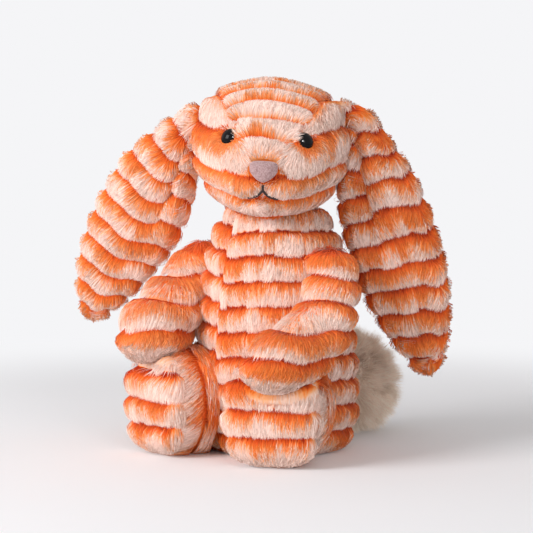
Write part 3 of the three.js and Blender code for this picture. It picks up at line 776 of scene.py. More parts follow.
def nose_gap(points):
    """Distance out from the nose's edge, taken as an oval, in front; far behind."""
    oval = np.hypot(points[..., 0], (points[..., 2] - NOSE_Z) * NOSE_WIDTH / NOSE_HEIGHT) - NOSE_WIDTH / 2
    return np.where(points[..., 1] < 0, oval, FAR)


def mouth_gap(points):
    """Distance from the mouth's stitches, seen from in front; far behind."""
    lip = through(MOUTH_LIP, np.linspace(0, 1, 9))
    stem = np.stack([np.zeros(3), np.linspace(MOUTH_TOP, MOUTH_FORK, 3)], -1)
    gap = np.full(points.shape[:-1], float(FAR))
    for x, z in np.concatenate([stem, lip]):
        gap = np.minimum(gap, np.hypot(np.abs(points[..., 0]) - x, points[..., 2] - z))
    return np.where(points[..., 1] < 0, gap, FAR)


def swell(points, sizes):
    """A soft bump on both sides of the head: its height times exp of minus the squared oval distance."""
    high, beside, up, wide, tall = sizes
    oval = ((np.abs(points[..., 0]) - beside) / wide) ** 2 + ((points[..., 2] - up) / tall) ** 2
    return high * np.exp(-oval)


def head_local(u, v):
    """Points of the head in its own frame: u turns about the ear to ear axis from the chin, v is along it."""
    turn = 2 * np.pi * u - np.pi / 2
    out = np.sin(np.pi * np.clip(v, 0.002, 0.998))
    way = np.stack([np.cos(np.pi * np.clip(v, 0.002, 0.998)), -out * np.cos(turn), out * np.sin(turn)], -1)
    bare = way * (head_reach(way) - HEAD_PILE)[..., None]
    bumps = (swell(bare, LOBE) + swell(bare, CHIN)) * ease(0.3, 5, mouth_gap(bare))
    bumps = np.where(bare[..., 1] < 0, bumps, 0) + swell(bare, CROWN)
    return bare + way * bumps[..., None]


def head_turn(points):
    """Angle of a point about the ear to ear axis: 0 at the front, a quarter turn at the crown."""
    angle = np.arctan2(points[..., 2], -points[..., 1])
    return np.where(angle < -np.pi / 2, angle + 2 * np.pi, angle)


def gusset_margin(points):
    """How far inside the gusset's seams a point lies, in mm, less than 0 on a cheek."""
    share = (head_turn(points) - GUSSET_START) / GUSSET_TURN
    width = np.where((share > 0) & (share < 1), through(GUSSET_HALF_WIDTHS, share), 0)
    return width - np.abs(points[..., 0])


def on_head(rule):
    """A function of u and v, from a rule for points in the head's own frame."""
    return lambda u, v: rule(head_local(u, v))


def head_rows(points):
    """Rows back over the gusset in arches, and down the cheeks, where they rise to the ears."""
    x = points[..., 0]
    turn = head_turn(points)
    bow = GUSSET_BOW + BRIDGE_BOW * (1 - ease(GUSSET_START, GUSSET_FIRST_EDGE + GUSSET_ROW, turn))
    gusset = (turn - GUSSET_FIRST_EDGE) / GUSSET_ROW + bow * x * x + 0.05 * np.sin(x / 6)
    cheek = np.interp(CHEEK_BOW * x * x - points[..., 2], CHEEK_EDGES, np.arange(len(CHEEK_EDGES)))
    cheek = cheek + CHEEK_ROWS + 0.04 * np.sin(x / 4)
    return np.where(gusset_margin(points) > 0, gusset + GUSSET_ROWS, cheek)


def head_across(points):
    """Place along a row: side to side on the gusset, and front to back too on the cheeks."""
    cheek = 0.7 * points[..., 1] + points[..., 0] + 160
    return np.where(gusset_margin(points) > 0, points[..., 0] + 60, cheek)


def seam_depth(points):
    """How much the gusset's seams show: fully above the eyes, and not at all beside the nose."""
    return ease(GUSSET_FIRST_EDGE, GUSSET_FIRST_EDGE + GUSSET_ROW, head_turn(points))


def head_full(points):
    """Pile is drawn down along the gusset's seams and the mouth, under the nose and in the eye sockets."""
    seam = 1 - 0.75 * seam_depth(points) * (1 - ease(0, 3, np.abs(gusset_margin(points))))
    face = ease(-3.2, -1.4, eye_gap(points)) * (0.25 + 0.75 * ease(-2, 3, nose_gap(points)))
    return seam * face * (0.3 + 0.7 * ease(0, 4, mouth_gap(points))) * HEAD_PILE / PILE


def head_least(points):
    """Pile stands up round the eyes."""
    return 0.85 * (1 - ease(0, 5, eye_gap(points))) * (points[..., 1] < 0)


def head_pull(points):
    """Pile near a seam of the gusset leans over it from both sides, and pile round an eye leans away."""
    margin = gusset_margin(points)
    toward = np.sign(points[..., 0]) * np.sign(margin) * 1.1 * np.exp(-(margin / 4) ** 2)
    across = from_head(np.array([1.0, 0, 0])) - HEAD_CENTRE
    pull = across * toward[..., None]
    part = 2.5 * (1 - ease(0.5, 4, eye_gap(points)))[..., None]
    for place in EYE_PLACES:
        away = points - place
        beside = np.linalg.norm(away, axis=-1, keepdims=True) < 3 * EYE_RADIUS
        pull = pull + (from_head(unit(away)) - HEAD_CENTRE) * part * beside
    return pull


def head_pale(points):
    """The gusset is paler than the cheeks, and palest between the eyes and the nose."""
    bridge = 0.26 + 0.14 * (1 - ease(GUSSET_FIRST_EDGE - GUSSET_ROW, GUSSET_FIRST_EDGE, head_turn(points)))
    row = np.clip(np.floor(head_rows(points)).astype(int) - CHEEK_ROWS, 0, len(CHEEK_PALE) - 1)
    beside_nose = 0.4 * (1 - ease(14, 24, np.abs(points[..., 0]))) * (points[..., 2] > NOSE_Z)
    margin = gusset_margin(points)
    seam = 0.6 * seam_depth(points) * np.exp(-(margin / 1.8) ** 2)
    # Pile round the eyes is deeper orange: painted shade in the sockets.
    socket = 0.5 * (1 - ease(-0.5, 3, eye_gap(points)))
    return np.where(margin > 0, bridge, np.array(CHEEK_PALE)[row] + beside_nose) - seam - socket


def head_lift(points):
    """The face's orange is light, lightest in the middle, and deep only towards the ears and the back."""
    return np.where(points[..., 1] < 0, 0.16 - 0.13 * ease(18, 38, np.abs(points[..., 0])), 0.06)


def head_hidden(root, u, v):
    """No pile grows under the eyes, the nose and the mouth's thread, or where the neck goes in."""
    points = head_local(u, v)
    bare = (eye_gap(points) < -EYE_BARE) | (nose_gap(points) < -0.6) | (mouth_gap(points) < 0.7)
    return bare | (body_clearance(root) < -3)


def head_room(points):
    """Pile is clipped short of the eyes, the nose and the mouth."""
    eye = 2 + 1.5 * (eye_gap(points) + EYE_BARE)
    nose = 0.9 + 0.8 * nose_gap(points)
    return np.minimum(np.minimum(eye, nose), 0.4 + 0.95 * mouth_gap(points))


def head_form(u, v):
    """The head's points in the toy's frame, pushed out to the ball of the neck where they lie in it."""
    points = from_head(head_local(u, v))
    off = points - NECK
    far = np.linalg.norm(off, axis=-1, keepdims=True)
    return NECK + off * np.maximum(NECK_SOCKET / np.maximum(far, 1), 1)


head_rules = (head_rows, head_across, head_full, head_pale, head_lift, head_least, head_pull)
head = Plush(head_form, *(on_head(rule) for rule in head_rules))
clipped = {"room": on_head(head_room), "density": HEAD_DENSITY, "length": HEAD_LENGTH}
cover("head", head, "head", "head_skin", (220, 150), 0.9, 21, head_hidden, **clipped)

# Eyes
# Black safety eyes: one glossy moulded piece each, a dome on a shank. The shank goes through the cloth, and a
# washer pressed on it from inside holds the eye.

EYE_DOME = 3.2
EYE_SET = 2.4
SHANK_RADIUS = 1.8
SHANK_LENGTH = 13
EYE_BLACK = (0.006, 0.005, 0.006, 1)


def turning(profile, around, place, way):
    """A profile of (radius, height) points turned about the axis through place along way, as a grid."""
    side = unit(np.cross(UP, way))
    over = np.cross(way, side)
    angle = np.arange(around) / around * 2 * np.pi
    level = side * np.cos(angle)[:, None] + over * np.sin(angle)[:, None]
    profile = np.asarray(profile, float)
    return place + way * profile[:, None, 1:] + level[None] * profile[:, None, :1]


def noise_over(nodes, scale, detail=2, distortion=0):
    """Noise over a piece, of that scale to a metre."""
    place = nodes.node("TexCoord", output="Object")
    sockets = {"Vector": place, "Scale": scale, "Detail": detail, "Distortion": distortion}
    return nodes.node("TexNoise", sockets=sockets)


def glossy_black(nodes):
    """Black moulded plastic with a hard gloss, a little uneven."""
    cloud = noise_over(nodes, 900)
    return {"Base Color": EYE_BLACK, "Roughness": 0.02 + cloud * 0.04, "Specular IOR Level": 0.12}


eye_look = finish("eye_black", glossy_black)
arc = np.linspace(0, np.pi / 2, 24)
eye_profile = np.concatenate([
    np.stack([EYE_RADIUS * np.sin(arc) + 0.001, EYE_DOME * np.cos(arc)], -1),
    [
        (EYE_RADIUS - 0.3, -0.5),
        (SHANK_RADIUS + 0.6, -0.7),
        (SHANK_RADIUS, -1.2),
        (SHANK_RADIUS, -SHANK_LENGTH),
        (0.01, -SHANK_LENGTH - 0.6),
    ],
])
for name, normal, place in zip(("left", "right"), EYE_NORMALS, EYE_PLACES):
    seat = from_head(place - normal * EYE_SET)
    outward = from_head(normal) - HEAD_CENTRE
    eye = shell(f"{name}_eye_dome", turning(eye_profile, 64, seat, outward), True)
    dress(eye, eye_look, "head", [f"{name}_eye"])

# Nose
# A rounded triangle of mauve suede cloth, padded with a little fibre. It is stitched on round its edge, and
# the pile is clipped back from it.

NOSE_THICKNESS = 4
MAUVE_STOPS = [
    (0.3, (0.33, 0.19, 0.19, 1)),
    (0.5, (0.47, 0.30, 0.30, 1)),
    (0.7, (0.60, 0.43, 0.43, 1)),
]


def nose_form(u, v):
    """A cushion from its front middle, v 0, to its back middle, v 1, bent round the muzzle.

    Its outline is squarish above, as cosine and sine to the power 0.6, and tapers below. Its depth is the
    cosine of pi v, and its spread a flattened sine of it."""
    angle = 2 * np.pi * u
    high = np.sin(angle)
    wide = np.cos(angle)
    power = np.where(high > 0, 0.6, 1.25)
    spread = np.sin(np.pi * np.clip(v, 0.002, 0.998)) ** 0.7
    beside = np.sign(wide) * np.abs(wide) ** power * (0.84 + 0.16 * high) * NOSE_WIDTH / 2 * spread
    above = np.sign(high) * np.abs(high) ** power * NOSE_HEIGHT / 2 * spread
    front = NOSE_THICKNESS * (0.55 * np.cos(np.pi * v) + 0.05) - beside ** 2 / 60
    normal = face_normal(0, NOSE_Z)
    up = np.cross(normal, [1.0, 0, 0])
    offset = np.array([1.0, 0, 0]) * beside[..., None] + up * above[..., None] + normal * front[..., None]
    return from_head(face_at(0, NOSE_Z) + offset)


def suede(nodes):
    """Mauve suede: fine nap that lies in small clouds, with pale specks and a felted bump."""
    cloud = noise_over(nodes, 420, 3)
    speck = noise_over(nodes, 1500)
    surface = grained(nodes, cloud * 0.25 + speck * 0.75, MAUVE_STOPS, speck, 0.5, 0.0006)
    return {"Roughness": 0.95, "Specular IOR Level": 0.15, "Sheen Weight": 0.4, **surface}


nose = shell("nose_cushion", nose_form(*grid(72, 40, 0.01)), False)
dress(nose, finish("nose_suede", suede), "head", ["nose_pad"])

# Mouth
# Dark embroidery thread, pulled through the plush as a stem and two curved lips. Its stitches draw the muzzle
# in between two lobes.

THREAD_RADIUS = 0.6
THREAD_PROUD = 1
THREAD_RINGS = 40
DARK_STOPS = [(0.3, (0.012, 0.008, 0.008, 1)), (0.7, (0.055, 0.036, 0.034, 1))]
MOUTH_STEM = [(0, MOUTH_TOP), (0, (MOUTH_TOP + MOUTH_FORK) / 2), (0, MOUTH_FORK)]
OTHER_LIP = [(-x, z) for x, z in MOUTH_LIP]


def thread_tube(places):
    """A round tube of thread over the face, along a smooth line of (beside, above) places, as a grid."""
    share = np.linspace(0, 1, THREAD_RINGS)
    line = through(places, share)
    middle = face_at(line[:, 0], line[:, 1])
    normal = unit(middle - MUZZLE_CENTRE)
    middle = middle + normal * (THREAD_PROUD - THREAD_RADIUS)
    tangent = unit(np.gradient(middle, axis=0))
    side = np.cross(tangent, normal)
    angle = np.arange(12) / 12 * 2 * np.pi
    twist = 1 + 0.1 * np.cos(3 * angle[None] + share[:, None] * len(places) * 25)
    ring = side[:, None] * np.cos(angle)[None, :, None] + normal[:, None] * np.sin(angle)[None, :, None]
    return from_head(middle[:, None] + ring * (THREAD_RADIUS * twist)[..., None])


def thread(nodes, scale, stops, rough):
    """Wound thread with a dull sheen: plies as noise of that scale, coloured by stops."""
    ply = noise_over(nodes, scale)
    return {"Roughness": rough, "Specular IOR Level": 0.3, **grained(nodes, ply, stops, ply, 0.4, 0.0003)}


thread_look = finish("mouth_thread", thread, 2200, DARK_STOPS, 0.7)
for name, places in (("stem", MOUTH_STEM), ("left_lip", MOUTH_LIP), ("right_lip", OTHER_LIP)):
    stitch = shell(f"mouth_{name}", thread_tube(places), False)
    dress(stitch, thread_look, "head", ["mouth_thread"] if name == "stem" else [])

# Ears
# Long flat ears of two plush panels each, front and back, sewn round the edge, lightly filled and gathered
# at the root. They hang from the sides of the crown with the nap running down to the tip.

EAR_ROW = 12.6
EAR_HALF_WIDTHS = [10, 13, 20, 22, 21, 18, 13]
EAR_HALF_DEPTHS = [9, 10, 11, 11, 10.5, 10, 8]
EAR_BLUNT = 6
EAR_OUTER = 0.75  # share of the way round a panel that is its outer side
EAR_ROUND = 70  # about how long a row is, round a panel
# Partly the ears' own colour, partly painted light: the right ear, by the key lamp, paler and lighter, the
# left deeper.
EAR_PALE_AND_PAINTED_LIGHT = {"left": -0.14, "right": 0.04}
EAR_LIFT_AND_PAINTED_LIGHT = {"left": 0, "right": 0.12}  # how much lighter its orange is
EAR_INNER = {  # share by which the side next to the body is wider, from root to tip
    "left": [0, 0.05, 0.2, 0.25, 0.32, 0.15, 0],
    "right": [0, 0.05, 0.2, 0.32, 0.25, 0.1, 0],
}
EAR_FOLDS = {"left": 0.29, "right": 0.5}  # place across the front panel of the fold down from the root
FOLD_END = (0.3, 0.6)  # where along the ear the fold runs out
FOLD_OFFSET = 0.45  # how far rows miss each other across it, in rows
TIP_PHASE = 0.8  # how far through its row the pile is at the tips of ears and arms
TIP_BARE = 0.99
EAR_BACK_EDGE = 0.06  # the back panel's pile stops this share short of the seam, under the front's
EAR_SPINES = {
    "left": [
        (28, 6, 21), (43, 5, 13), (52, 4, -9), (62, 5, -34), (72, 7, -60), (79, 9, -84), (86, 11, -108),
    ],
    "right": [
        (-28, 6, 19), (-43, 8, 7), (-55, 14, -10), (-67, 22, -32), (-78, 31, -54), (-87, 40, -75),
        (-94, 48, -94),
    ],
}


class Sleeve:
    """A stuffed tube: oval rings along a smooth spine, drawn in at both ends.

    At fraction s of the spine a ring's half sizes are the listed ones, less an inset, times
    sqrt(1 - |1 - 2s|^blunt), with a blunt for each end. v runs evenly along the outside, from the root's
    pole to the tip's."""

    def __init__(self, spine, half_widths, half_depths, axis, blunt, inset, root_blunt=None):
        self.line, self.length = by_length(spine)
        self.half_widths = half_widths
        self.half_depths = half_depths
        self.axis = np.asarray(axis, float)
        self.blunt = blunt
        self.root_blunt = root_blunt or blunt
        self.inset = inset
        self.table = (1 - np.cos(np.linspace(0, np.pi, 900))) / 2
        wide, deep = self.halves(self.table)
        steps = np.hypot(np.diff(self.table) * self.length, np.diff((wide + deep) / 2))
        self.run = np.concatenate([[0], np.cumsum(steps)])

    def halves(self, s):
        """Half width and half depth of the rings at s."""
        blunt = np.where(s < 0.5, self.root_blunt, self.blunt)
        close = np.sqrt(np.maximum(1 - np.abs(1 - 2 * s) ** blunt, 0))
        wide = (through(self.half_widths, s) - self.inset) * close
        deep = (through(self.half_depths, s) - self.inset) * close
        return wide, deep

    def along(self, v):
        """Fraction of the spine for a fraction of the run along the outside."""
        return np.interp(v * self.run[-1], self.run, self.table)

    def rings(self, s):
        """Middle, width way and depth way of the rings at s."""
        middle = self.line(s)
        tangent = unit(self.line(np.minimum(s + 0.01, 1)) - self.line(np.maximum(s - 0.01, 0)))
        depth = unit(self.axis - tangent * (tangent @ self.axis)[..., None])
        return middle, np.cross(depth, tangent), depth

    def at(self, v, wide_share, deep_share):
        """Points at v whose offsets are those shares of the ring's half width and half depth."""
        s = self.along(v)
        middle, width, depth = self.rings(s)
        wide, deep = self.halves(s)
        return middle + width * (wide * wide_share)[..., None] + depth * (deep * deep_share)[..., None]


def head_clearance(points):
    """How far points lie outside the head, measured from its middle, less than 0 inside."""
    local = to_head(points)
    far = np.linalg.norm(local, axis=-1)
    return far - head_reach(local / np.maximum(far, 1e-6)[..., None])


def ear_panel(name, front, seed):
    """One panel of an ear: a half oval on its outer side for most of u, then straight back to the start."""
    sleeve = Sleeve(EAR_SPINES[name], EAR_HALF_WIDTHS, EAR_HALF_DEPTHS, (0, 1, 0), EAR_BLUNT, PILE)
    outer = EAR_OUTER
    face = -1 if front else 1
    inner = 1 if name == "left" else -1

    def fold(u, v):
        """Depth of the fold that runs down the front from the root."""
        near = np.exp(-((u - EAR_FOLDS[name]) / 0.045) ** 2)
        return near * (1 - ease(*FOLD_END, v)) * front

    def form(u, v):
        """Half ovals of the sleeve, as cosine and sine of the way round, wider next to the body."""
        u = u % 1
        angle = np.pi * np.clip(u / outer, 0, 1)
        back = np.clip((u - outer) / (1 - outer), 0, 1)
        wide = np.where(u < outer, np.cos(angle), 2 * back - 1)
        deep = np.where(u < outer, np.sin(angle), 0) + 0.02 - 0.5 * fold(u, v)
        spread = through(EAR_INNER[name], sleeve.along(v))
        return from_head(sleeve.at(v, wide * np.where(wide * inner > 0, 1 + spread, 1), face * deep))

    def rows(u, v):
        """Rows down the ear, a little wavy, which miss each other across the fold."""
        wave = 0.13 * np.sin(u * 9 + seed) + 0.08 * np.sin(u * 19 + 2 * seed)
        split = FOLD_OFFSET * ease(-0.02, 0.02, u - EAR_FOLDS[name]) * (1 - ease(*FOLD_END, v)) * front
        return (v - 1) * sleeve.run[-1] / EAR_ROW + wave + split + BASE_ROW + TIP_PHASE

    def hide(root, u, v):
        """No pile inside the ear, inside the head or right at the tip."""
        edge = np.minimum(u, outer - u) < (0 if front else EAR_BACK_EDGE)
        return edge | (v > TIP_BARE) | (head_clearance(root) < -2)

    def full(u, v):
        """Pile is drawn down in the fold."""
        return 1 - 0.6 * fold(u, v)

    def across(u, v):
        """Place along a row: the way round the panel."""
        return u * EAR_ROUND + seed

    panel = Plush(form, rows, across, full, EAR_PALE_AND_PAINTED_LIGHT[name], EAR_LIFT_AND_PAINTED_LIGHT[name])
    title = f"{name}_ear_{'front' if front else 'back'}"
    cover(title, panel, f"{name}_ear", title, (150, 170), 0.5, seed, hide)


for number, name in enumerate(EAR_SPINES):
    ear_panel(name, True, 31 + number * 2)
    ear_panel(name, False, 32 + number * 2)

# Arms
# Bent plush sleeves with round paws, stuffed softly, gathered and sewn on at the shoulders with the nap
# running down to the paws. The paws rest on the legs.

ARM_ROW = 12
ARM_BASE_ROW = 20.04  # a little into the row, so that the cloth over the shoulder stays in it
ARM_FIRST_EDGE = {"left": 102, "right": 100}  # height where the first row starts, over the shoulder
PAW_LAST = {"left": 46.2, "right": 56.2}  # height below which a paw's last row goes on to its underside
PAW_STRETCH = 0.3  # rows per row's height there
PAW_RISE = 3.5  # this much above that height the paw turns pale
PAW_FADE = 4  # over this much above and below
PAW_PALE = 0.45  # how much paler it then is
SHOULDER_STRETCH = 0.05  # rows per row's height over the shoulder
ARM_RADII = {"left": [13.5, 14.5, 16, 17, 16], "right": [13.5, 14.5, 17.5, 18.5, 16.5]}
ARM_BLUNT = 5
ARM_ROOT_BLUNT = 16
UNDER_PILE = 5.5  # how deep the limbs' cloth goes on under the body's pile
ARM_PALE = {"left": -0.18, "right": -0.16}
ARM_LIGHT = {"left": 0.04, "right": 0.12}
ARM_SPINES = {
    "left": [(33, -4, 101), (41, -10, 84), (43, -25, 64), (41, -48, 54), (37, -70, 47)],
    "right": [(-33, -4, 101), (-41, -13, 88), (-41, -30, 73.5), (-38.5, -50, 63), (-38, -68, 57)],
}


def off_body(points, sunk):
    """Points inside the pear moved out, level, until they lie sunk mm under its surface."""
    clearance = body_clearance(points)
    level = np.hypot(points[..., 0], points[..., 1]) + 1e-6
    out = np.clip(-clearance - sunk, 0, 40) / level
    return points * np.stack([1 + out, 1 + out, np.ones_like(out)], -1)


def bared(form):
    """A limb's pile goes down to nothing where it runs into the body."""
    return lambda u, v: ease(1 - UNDER_PILE, 1, body_clearance(form(u, v)))


def sew_arm(name, number):
    """One arm: the sleeve's rings, pushed out of the body, with rows by height."""
    sleeve = arm_sleeves[name]

    def form(u, v):
        """Round rings of the sleeve, as cosine and sine of the way round."""
        angle = 2 * np.pi * u
        return off_body(sleeve.at(v, np.cos(angle), np.sin(angle)), UNDER_PILE)

    def rows(u, v):
        """Rows by height, a little wavy, stretched over the shoulder and under the paw."""
        points = form(u, v)
        below = ARM_FIRST_EDGE[name] - points[..., 2]
        wave = 0.1 * np.sin(points[..., 1] / 7 + points[..., 0] / 9 + number) * ease(0, ARM_ROW, below)
        under = (1 - PAW_STRETCH) * np.maximum(PAW_LAST[name] - points[..., 2], 0)
        return (np.maximum(below, SHOULDER_STRETCH * below) - under) / ARM_ROW + wave + ARM_BASE_ROW

    def across(u, v):
        """Place along a row: to the side and to the front."""
        points = form(u, v)
        return 0.8 * (points[..., 0] - points[..., 1]) + 200

    def pale(u, v):
        """The paw's underside is paler than the arm."""
        under = PAW_LAST[name] + PAW_RISE - form(u, v)[..., 2]
        return ARM_PALE[name] + PAW_PALE * ease(-PAW_FADE, PAW_FADE, under)

    def hide(root, u, v):
        """No pile inside the body or right at the tip."""
        return (v > TIP_BARE) | (body_clearance(root) < -1)

    arm = Plush(form, rows, across, bared(form), pale, ARM_LIGHT[name])
    cover(f"{name}_arm", arm, f"{name}_arm", f"{name}_arm_skin", (130, 150), 0.7, 41 + number, hide)
    return arm


arm_sleeves = {}
for name, spine in ARM_SPINES.items():
    radii = ARM_RADII[name]
    arm_sleeves[name] = Sleeve(spine, radii, radii, (1, 0, 0), ARM_BLUNT, PILE, ARM_ROOT_BLUNT)
arms = {name: sew_arm(name, number) for number, name in enumerate(ARM_SPINES)}

# Legs and soles
# Short wide plush tubes sewn to the underside of the body, with the nap running out to the feet. Each is
# closed by its own upright sole panel, whose nap runs down. The paws press dents into them.

HIP = np.array([16, -4, 26])
LEG_SPLAY = math.radians(21)
LEG_LENGTH = 62
LEG_HALF_WIDTHS = [21, 24, 25, 25]
LEG_HALF_HEIGHTS = [21.5, 28, 28.5, 26.5]
LEG_ROW = 22
LEG_BASE_ROW = 25  # number of the row that starts at its last edge
SOLE_ROW = 13
SOLE_TOP_EDGE = 56
SOLE_DOME = 6
SOLE_BOX = 3  # power of the sole's rounded square outline
LEG_LAST_EDGE = 53.5
LEG_ROOT_PHASE = 0.3  # how far through its row the pile is at the hip, where it is all orange
LEG_CLOSE = 0.12  # share of a leg's v that closes its end behind the sole
LEG_ROUND = 150  # about how long a row is, round a leg
SOLE_BACK = LEG_LENGTH - PILE - SOLE_DOME
SOLE_HALF_WIDTH = LEG_HALF_WIDTHS[-1] - PILE
SOLE_HALF_HEIGHT = LEG_HALF_HEIGHTS[-1] - PILE
SOLE_FRONT = 0.52  # share of the way round a sole that grows pile
PAW_GAP = 1.5  # pile needs this much room under a paw
LEG_FLOOR = 0.3


def under_arm(points, sleeve):
    """The height just under an arm above or below each point, far up where no arm is."""
    s = np.linspace(0.3, 1, 40)
    middles = sleeve.line(s)
    radii = sleeve.halves(s)[0] + PILE + 1
    lowest = np.full(points.shape[:-1], 500.0)
    for middle, radius in zip(middles, radii):
        level = np.hypot(points[..., 0] - middle[0], points[..., 1] - middle[1])
        below = middle[2] - np.sqrt(np.maximum(radius * radius - level * level, 0))
        lowest = np.where(level < radius, np.minimum(lowest, below), lowest)
    return lowest


def under_paw(points, sleeve):
    """Points lowered where they have to be to lie under an arm."""
    height = np.minimum(points[..., 2], under_arm(points, sleeve))
    return np.concatenate([points[..., :2], height[..., None]], -1)


def under_gap(points, sleeve):
    """How far points lie below the arm over them."""
    return under_arm(points, sleeve) - points[..., 2]


def hang(u, v):
    """Pile on the legs' sides hangs down a little."""
    return np.full(u.shape + (3,), (0, 0, -0.7))


def sew_leg(name, side, number):
    """One leg and its sole, in the leg's own frame: out along it from the hip, level across it, and up."""
    hip = HIP * [side, 1, 1]
    out = np.array([side * math.sin(LEG_SPLAY), -math.cos(LEG_SPLAY), 0])
    level = np.array([math.cos(LEG_SPLAY), side * math.sin(LEG_SPLAY), 0])
    paw = arm_sleeves[name]

    def at(run, wide, high):
        """Points at a run along the leg, but never below the floor."""
        points = hip + out * run[..., None] + level * wide[..., None] + UP * high[..., None]
        points[..., 2] = np.maximum(points[..., 2], LEG_FLOOR)
        return points

    def leg_run(v):
        """How far along the leg v lies, up to just inside the sole."""
        return np.clip(v * (1 + LEG_CLOSE), 0, 1) * (SOLE_BACK + 1)

    def leg_form(u, v):
        """Oval rings from the hip to the back of the sole, then in towards the middle."""
        run = leg_run(v)
        share = run / LEG_LENGTH
        shrink = 1 - 0.8 * np.clip((v * (1 + LEG_CLOSE) - 1) / LEG_CLOSE, 0, 1)
        angle = 2 * np.pi * u
        wide = (through(LEG_HALF_WIDTHS, share) - PILE) * shrink * np.cos(angle)
        high = (through(LEG_HALF_HEIGHTS, share) - PILE) * shrink * np.sin(angle)
        return under_paw(off_body(at(run, wide, high), UNDER_PILE), paw)

    def leg_rows(u, v):
        """Rows out along the leg, up to a last edge near the sole."""
        return np.maximum((leg_run(v) - LEG_LAST_EDGE) / LEG_ROW, LEG_ROOT_PHASE - 1) + LEG_BASE_ROW

    def leg_across(u, v):
        """Place along a row: the way round the leg."""
        return u * LEG_ROUND

    def hide_leg(root, u, v):
        """No pile behind the sole, on the floor, where the paw presses or inside the body."""
        bare = (v * (1 + LEG_CLOSE) > 0.9) | (root[..., 2] < 0.5) | (under_gap(root, paw) < PAW_GAP)
        return bare | (body_clearance(root) < -1)

    def sole_form(u, v):
        """A cushion over the leg's end: v from its top to its bottom, u round it, flat behind.

        Its outline is a rounded square, the sum of its sides' powers, and its section a softer one."""
        angle = 2 * np.pi * u
        up = np.cos(np.pi * np.clip(v, 0, 1))
        ring = np.maximum(1 - np.abs(up) ** SOLE_BOX, 0) ** (1 / SOLE_BOX)
        beside = np.sign(np.cos(angle)) * np.abs(np.cos(angle)) ** 0.65
        ahead = np.sign(np.sin(angle)) * np.abs(np.sin(angle)) ** 0.65
        deep = np.where(ahead > 0, SOLE_DOME, 1.5) * ring * ahead
        return under_paw(at(SOLE_BACK + deep, SOLE_HALF_WIDTH * ring * beside, SOLE_HALF_HEIGHT * up), paw)

    def sole_rows(u, v):
        """Level rows down the sole."""
        return (SOLE_TOP_EDGE - HIP[2] - SOLE_HALF_HEIGHT * np.cos(np.pi * v)) / SOLE_ROW + BASE_ROW

    def sole_across(u, v):
        """Place along a row: level across the sole."""
        return (sole_form(u, v) - hip) @ level

    def sole_pale(u, v):
        """The sole is pale at its sides."""
        return 0.1 + 0.4 * ease(0.82, 1, np.abs(sole_across(u, v)) / SOLE_HALF_WIDTH)

    def hide_sole(root, u, v):
        """No pile on the sole's back, on the floor or where the paw presses."""
        return (u > SOLE_FRONT) | (root[..., 2] < 0.5) | (under_gap(root, paw) < PAW_GAP)

    leg = Plush(leg_form, leg_rows, leg_across, bared(leg_form), pull=hang)
    cover(f"{name}_leg", leg, f"{name}_leg", f"{name}_leg_skin", (170, 110), 0.7, 51 + number, hide_leg)
    sole = Plush(sole_form, sole_rows, sole_across, pale=sole_pale)
    cover(f"{name}_sole", sole, f"{name}_leg", f"{name}_sole", (130, 70), 0.7, 61 + number, hide_sole)
    return leg


legs = {"left": sew_leg("left", 1, 0), "right": sew_leg("right", -1, 1)}

# Tail
# A small stuffed bag of cream cloth with very long loose pile, which gathers in locks. It is sewn to the back
# by its mouth.

TAIL_CENTRE = np.array([0, 66, 25.5])
TAIL_PILE = 13
TAIL_CORE = 17
TAIL_STRANDS = 60000
TAIL_LOCKS = 320
CREAM_STOPS = [
    (0, (0.72, 0.52, 0.38, 1)),
    (0.45, (0.94, 0.80, 0.67, 1)),
    (1, (1, 0.95, 0.88, 1)),
]


def tail_form(u, v):
    """A ball: v goes from the body's side to the back, and u round it."""
    angle = 2 * np.pi * u
    out = np.sin(np.pi * v)
    way = np.stack([out * np.cos(angle), -np.cos(np.pi * v), out * np.sin(angle)], -1)
    return TAIL_CENTRE + way * TAIL_CORE


def fluff(name, seed):
    """Long pile as kites that start along the ball's radius, lean with their lock and droop at the tips."""
    draw = np.random.default_rng(seed)
    way = unit(draw.normal(size=(TAIL_STRANDS, 3)))
    locks = unit(draw.normal(size=(TAIL_LOCKS, 3)))
    lock = np.argmax(way @ locks.T, 1)
    gather = locks[lock] - way
    lean = 0.32 * draw.normal(size=(TAIL_LOCKS, 3))[lock] + 0.2 * draw.normal(size=way.shape)
    own = draw.random((3, len(way)))
    length = TAIL_PILE * (0.7 + 0.5 * own[0])
    root = TAIL_CENTRE + way * (TAIL_CORE - 0.3)
    middle = root + unit(way + 0.4 * lean + 0.8 * gather) * (length * 0.5)[:, None]
    tip = middle + unit(way + 1.1 * lean + 1.6 * gather + np.array([0, 0, -0.25])) * (length * 0.6)[:, None]
    flat = unit(np.cross(way, draw.normal(size=way.shape))) * (0.09 + 0.07 * own[1])[:, None]
    points = np.stack([root, middle - flat, middle + flat, tip], 1)
    tone = np.stack([0.05 + 0 * own[1], 0.55 + 0.2 * own[1], 0.55 + 0.2 * own[1], 0.8 + 0.2 * own[2]], 1)
    shade = 0.62 + 0.4 * (own[2] - 0.5)[:, None] + np.array([0, -0.03, 0.03, 0.05])
    clear = (body_clearance(root) > 0) & (body_clearance(tip) > 0.5)
    return strands(name, points[clear], np.stack([tone, shade], -1)[clear])


def cream_cloth(nodes):
    """The knitted backing of the long pile."""
    knit = noise_over(nodes, 900)
    surface = grained(nodes, knit * 0.6, CREAM_STOPS, knit, 0.4, 0.0006)
    return {"Roughness": 0.95, "Specular IOR Level": 0.1, **surface}


tail_bag = shell("tail_plush", tail_form(*grid(60, 40)), True)
dress(tail_bag, finish("cream_cloth", cream_cloth), "tail", ["tail_skin"])
dress(fluff("tail_pile", 71), finish("cream_pile", striped, CREAM_STOPS), "tail")

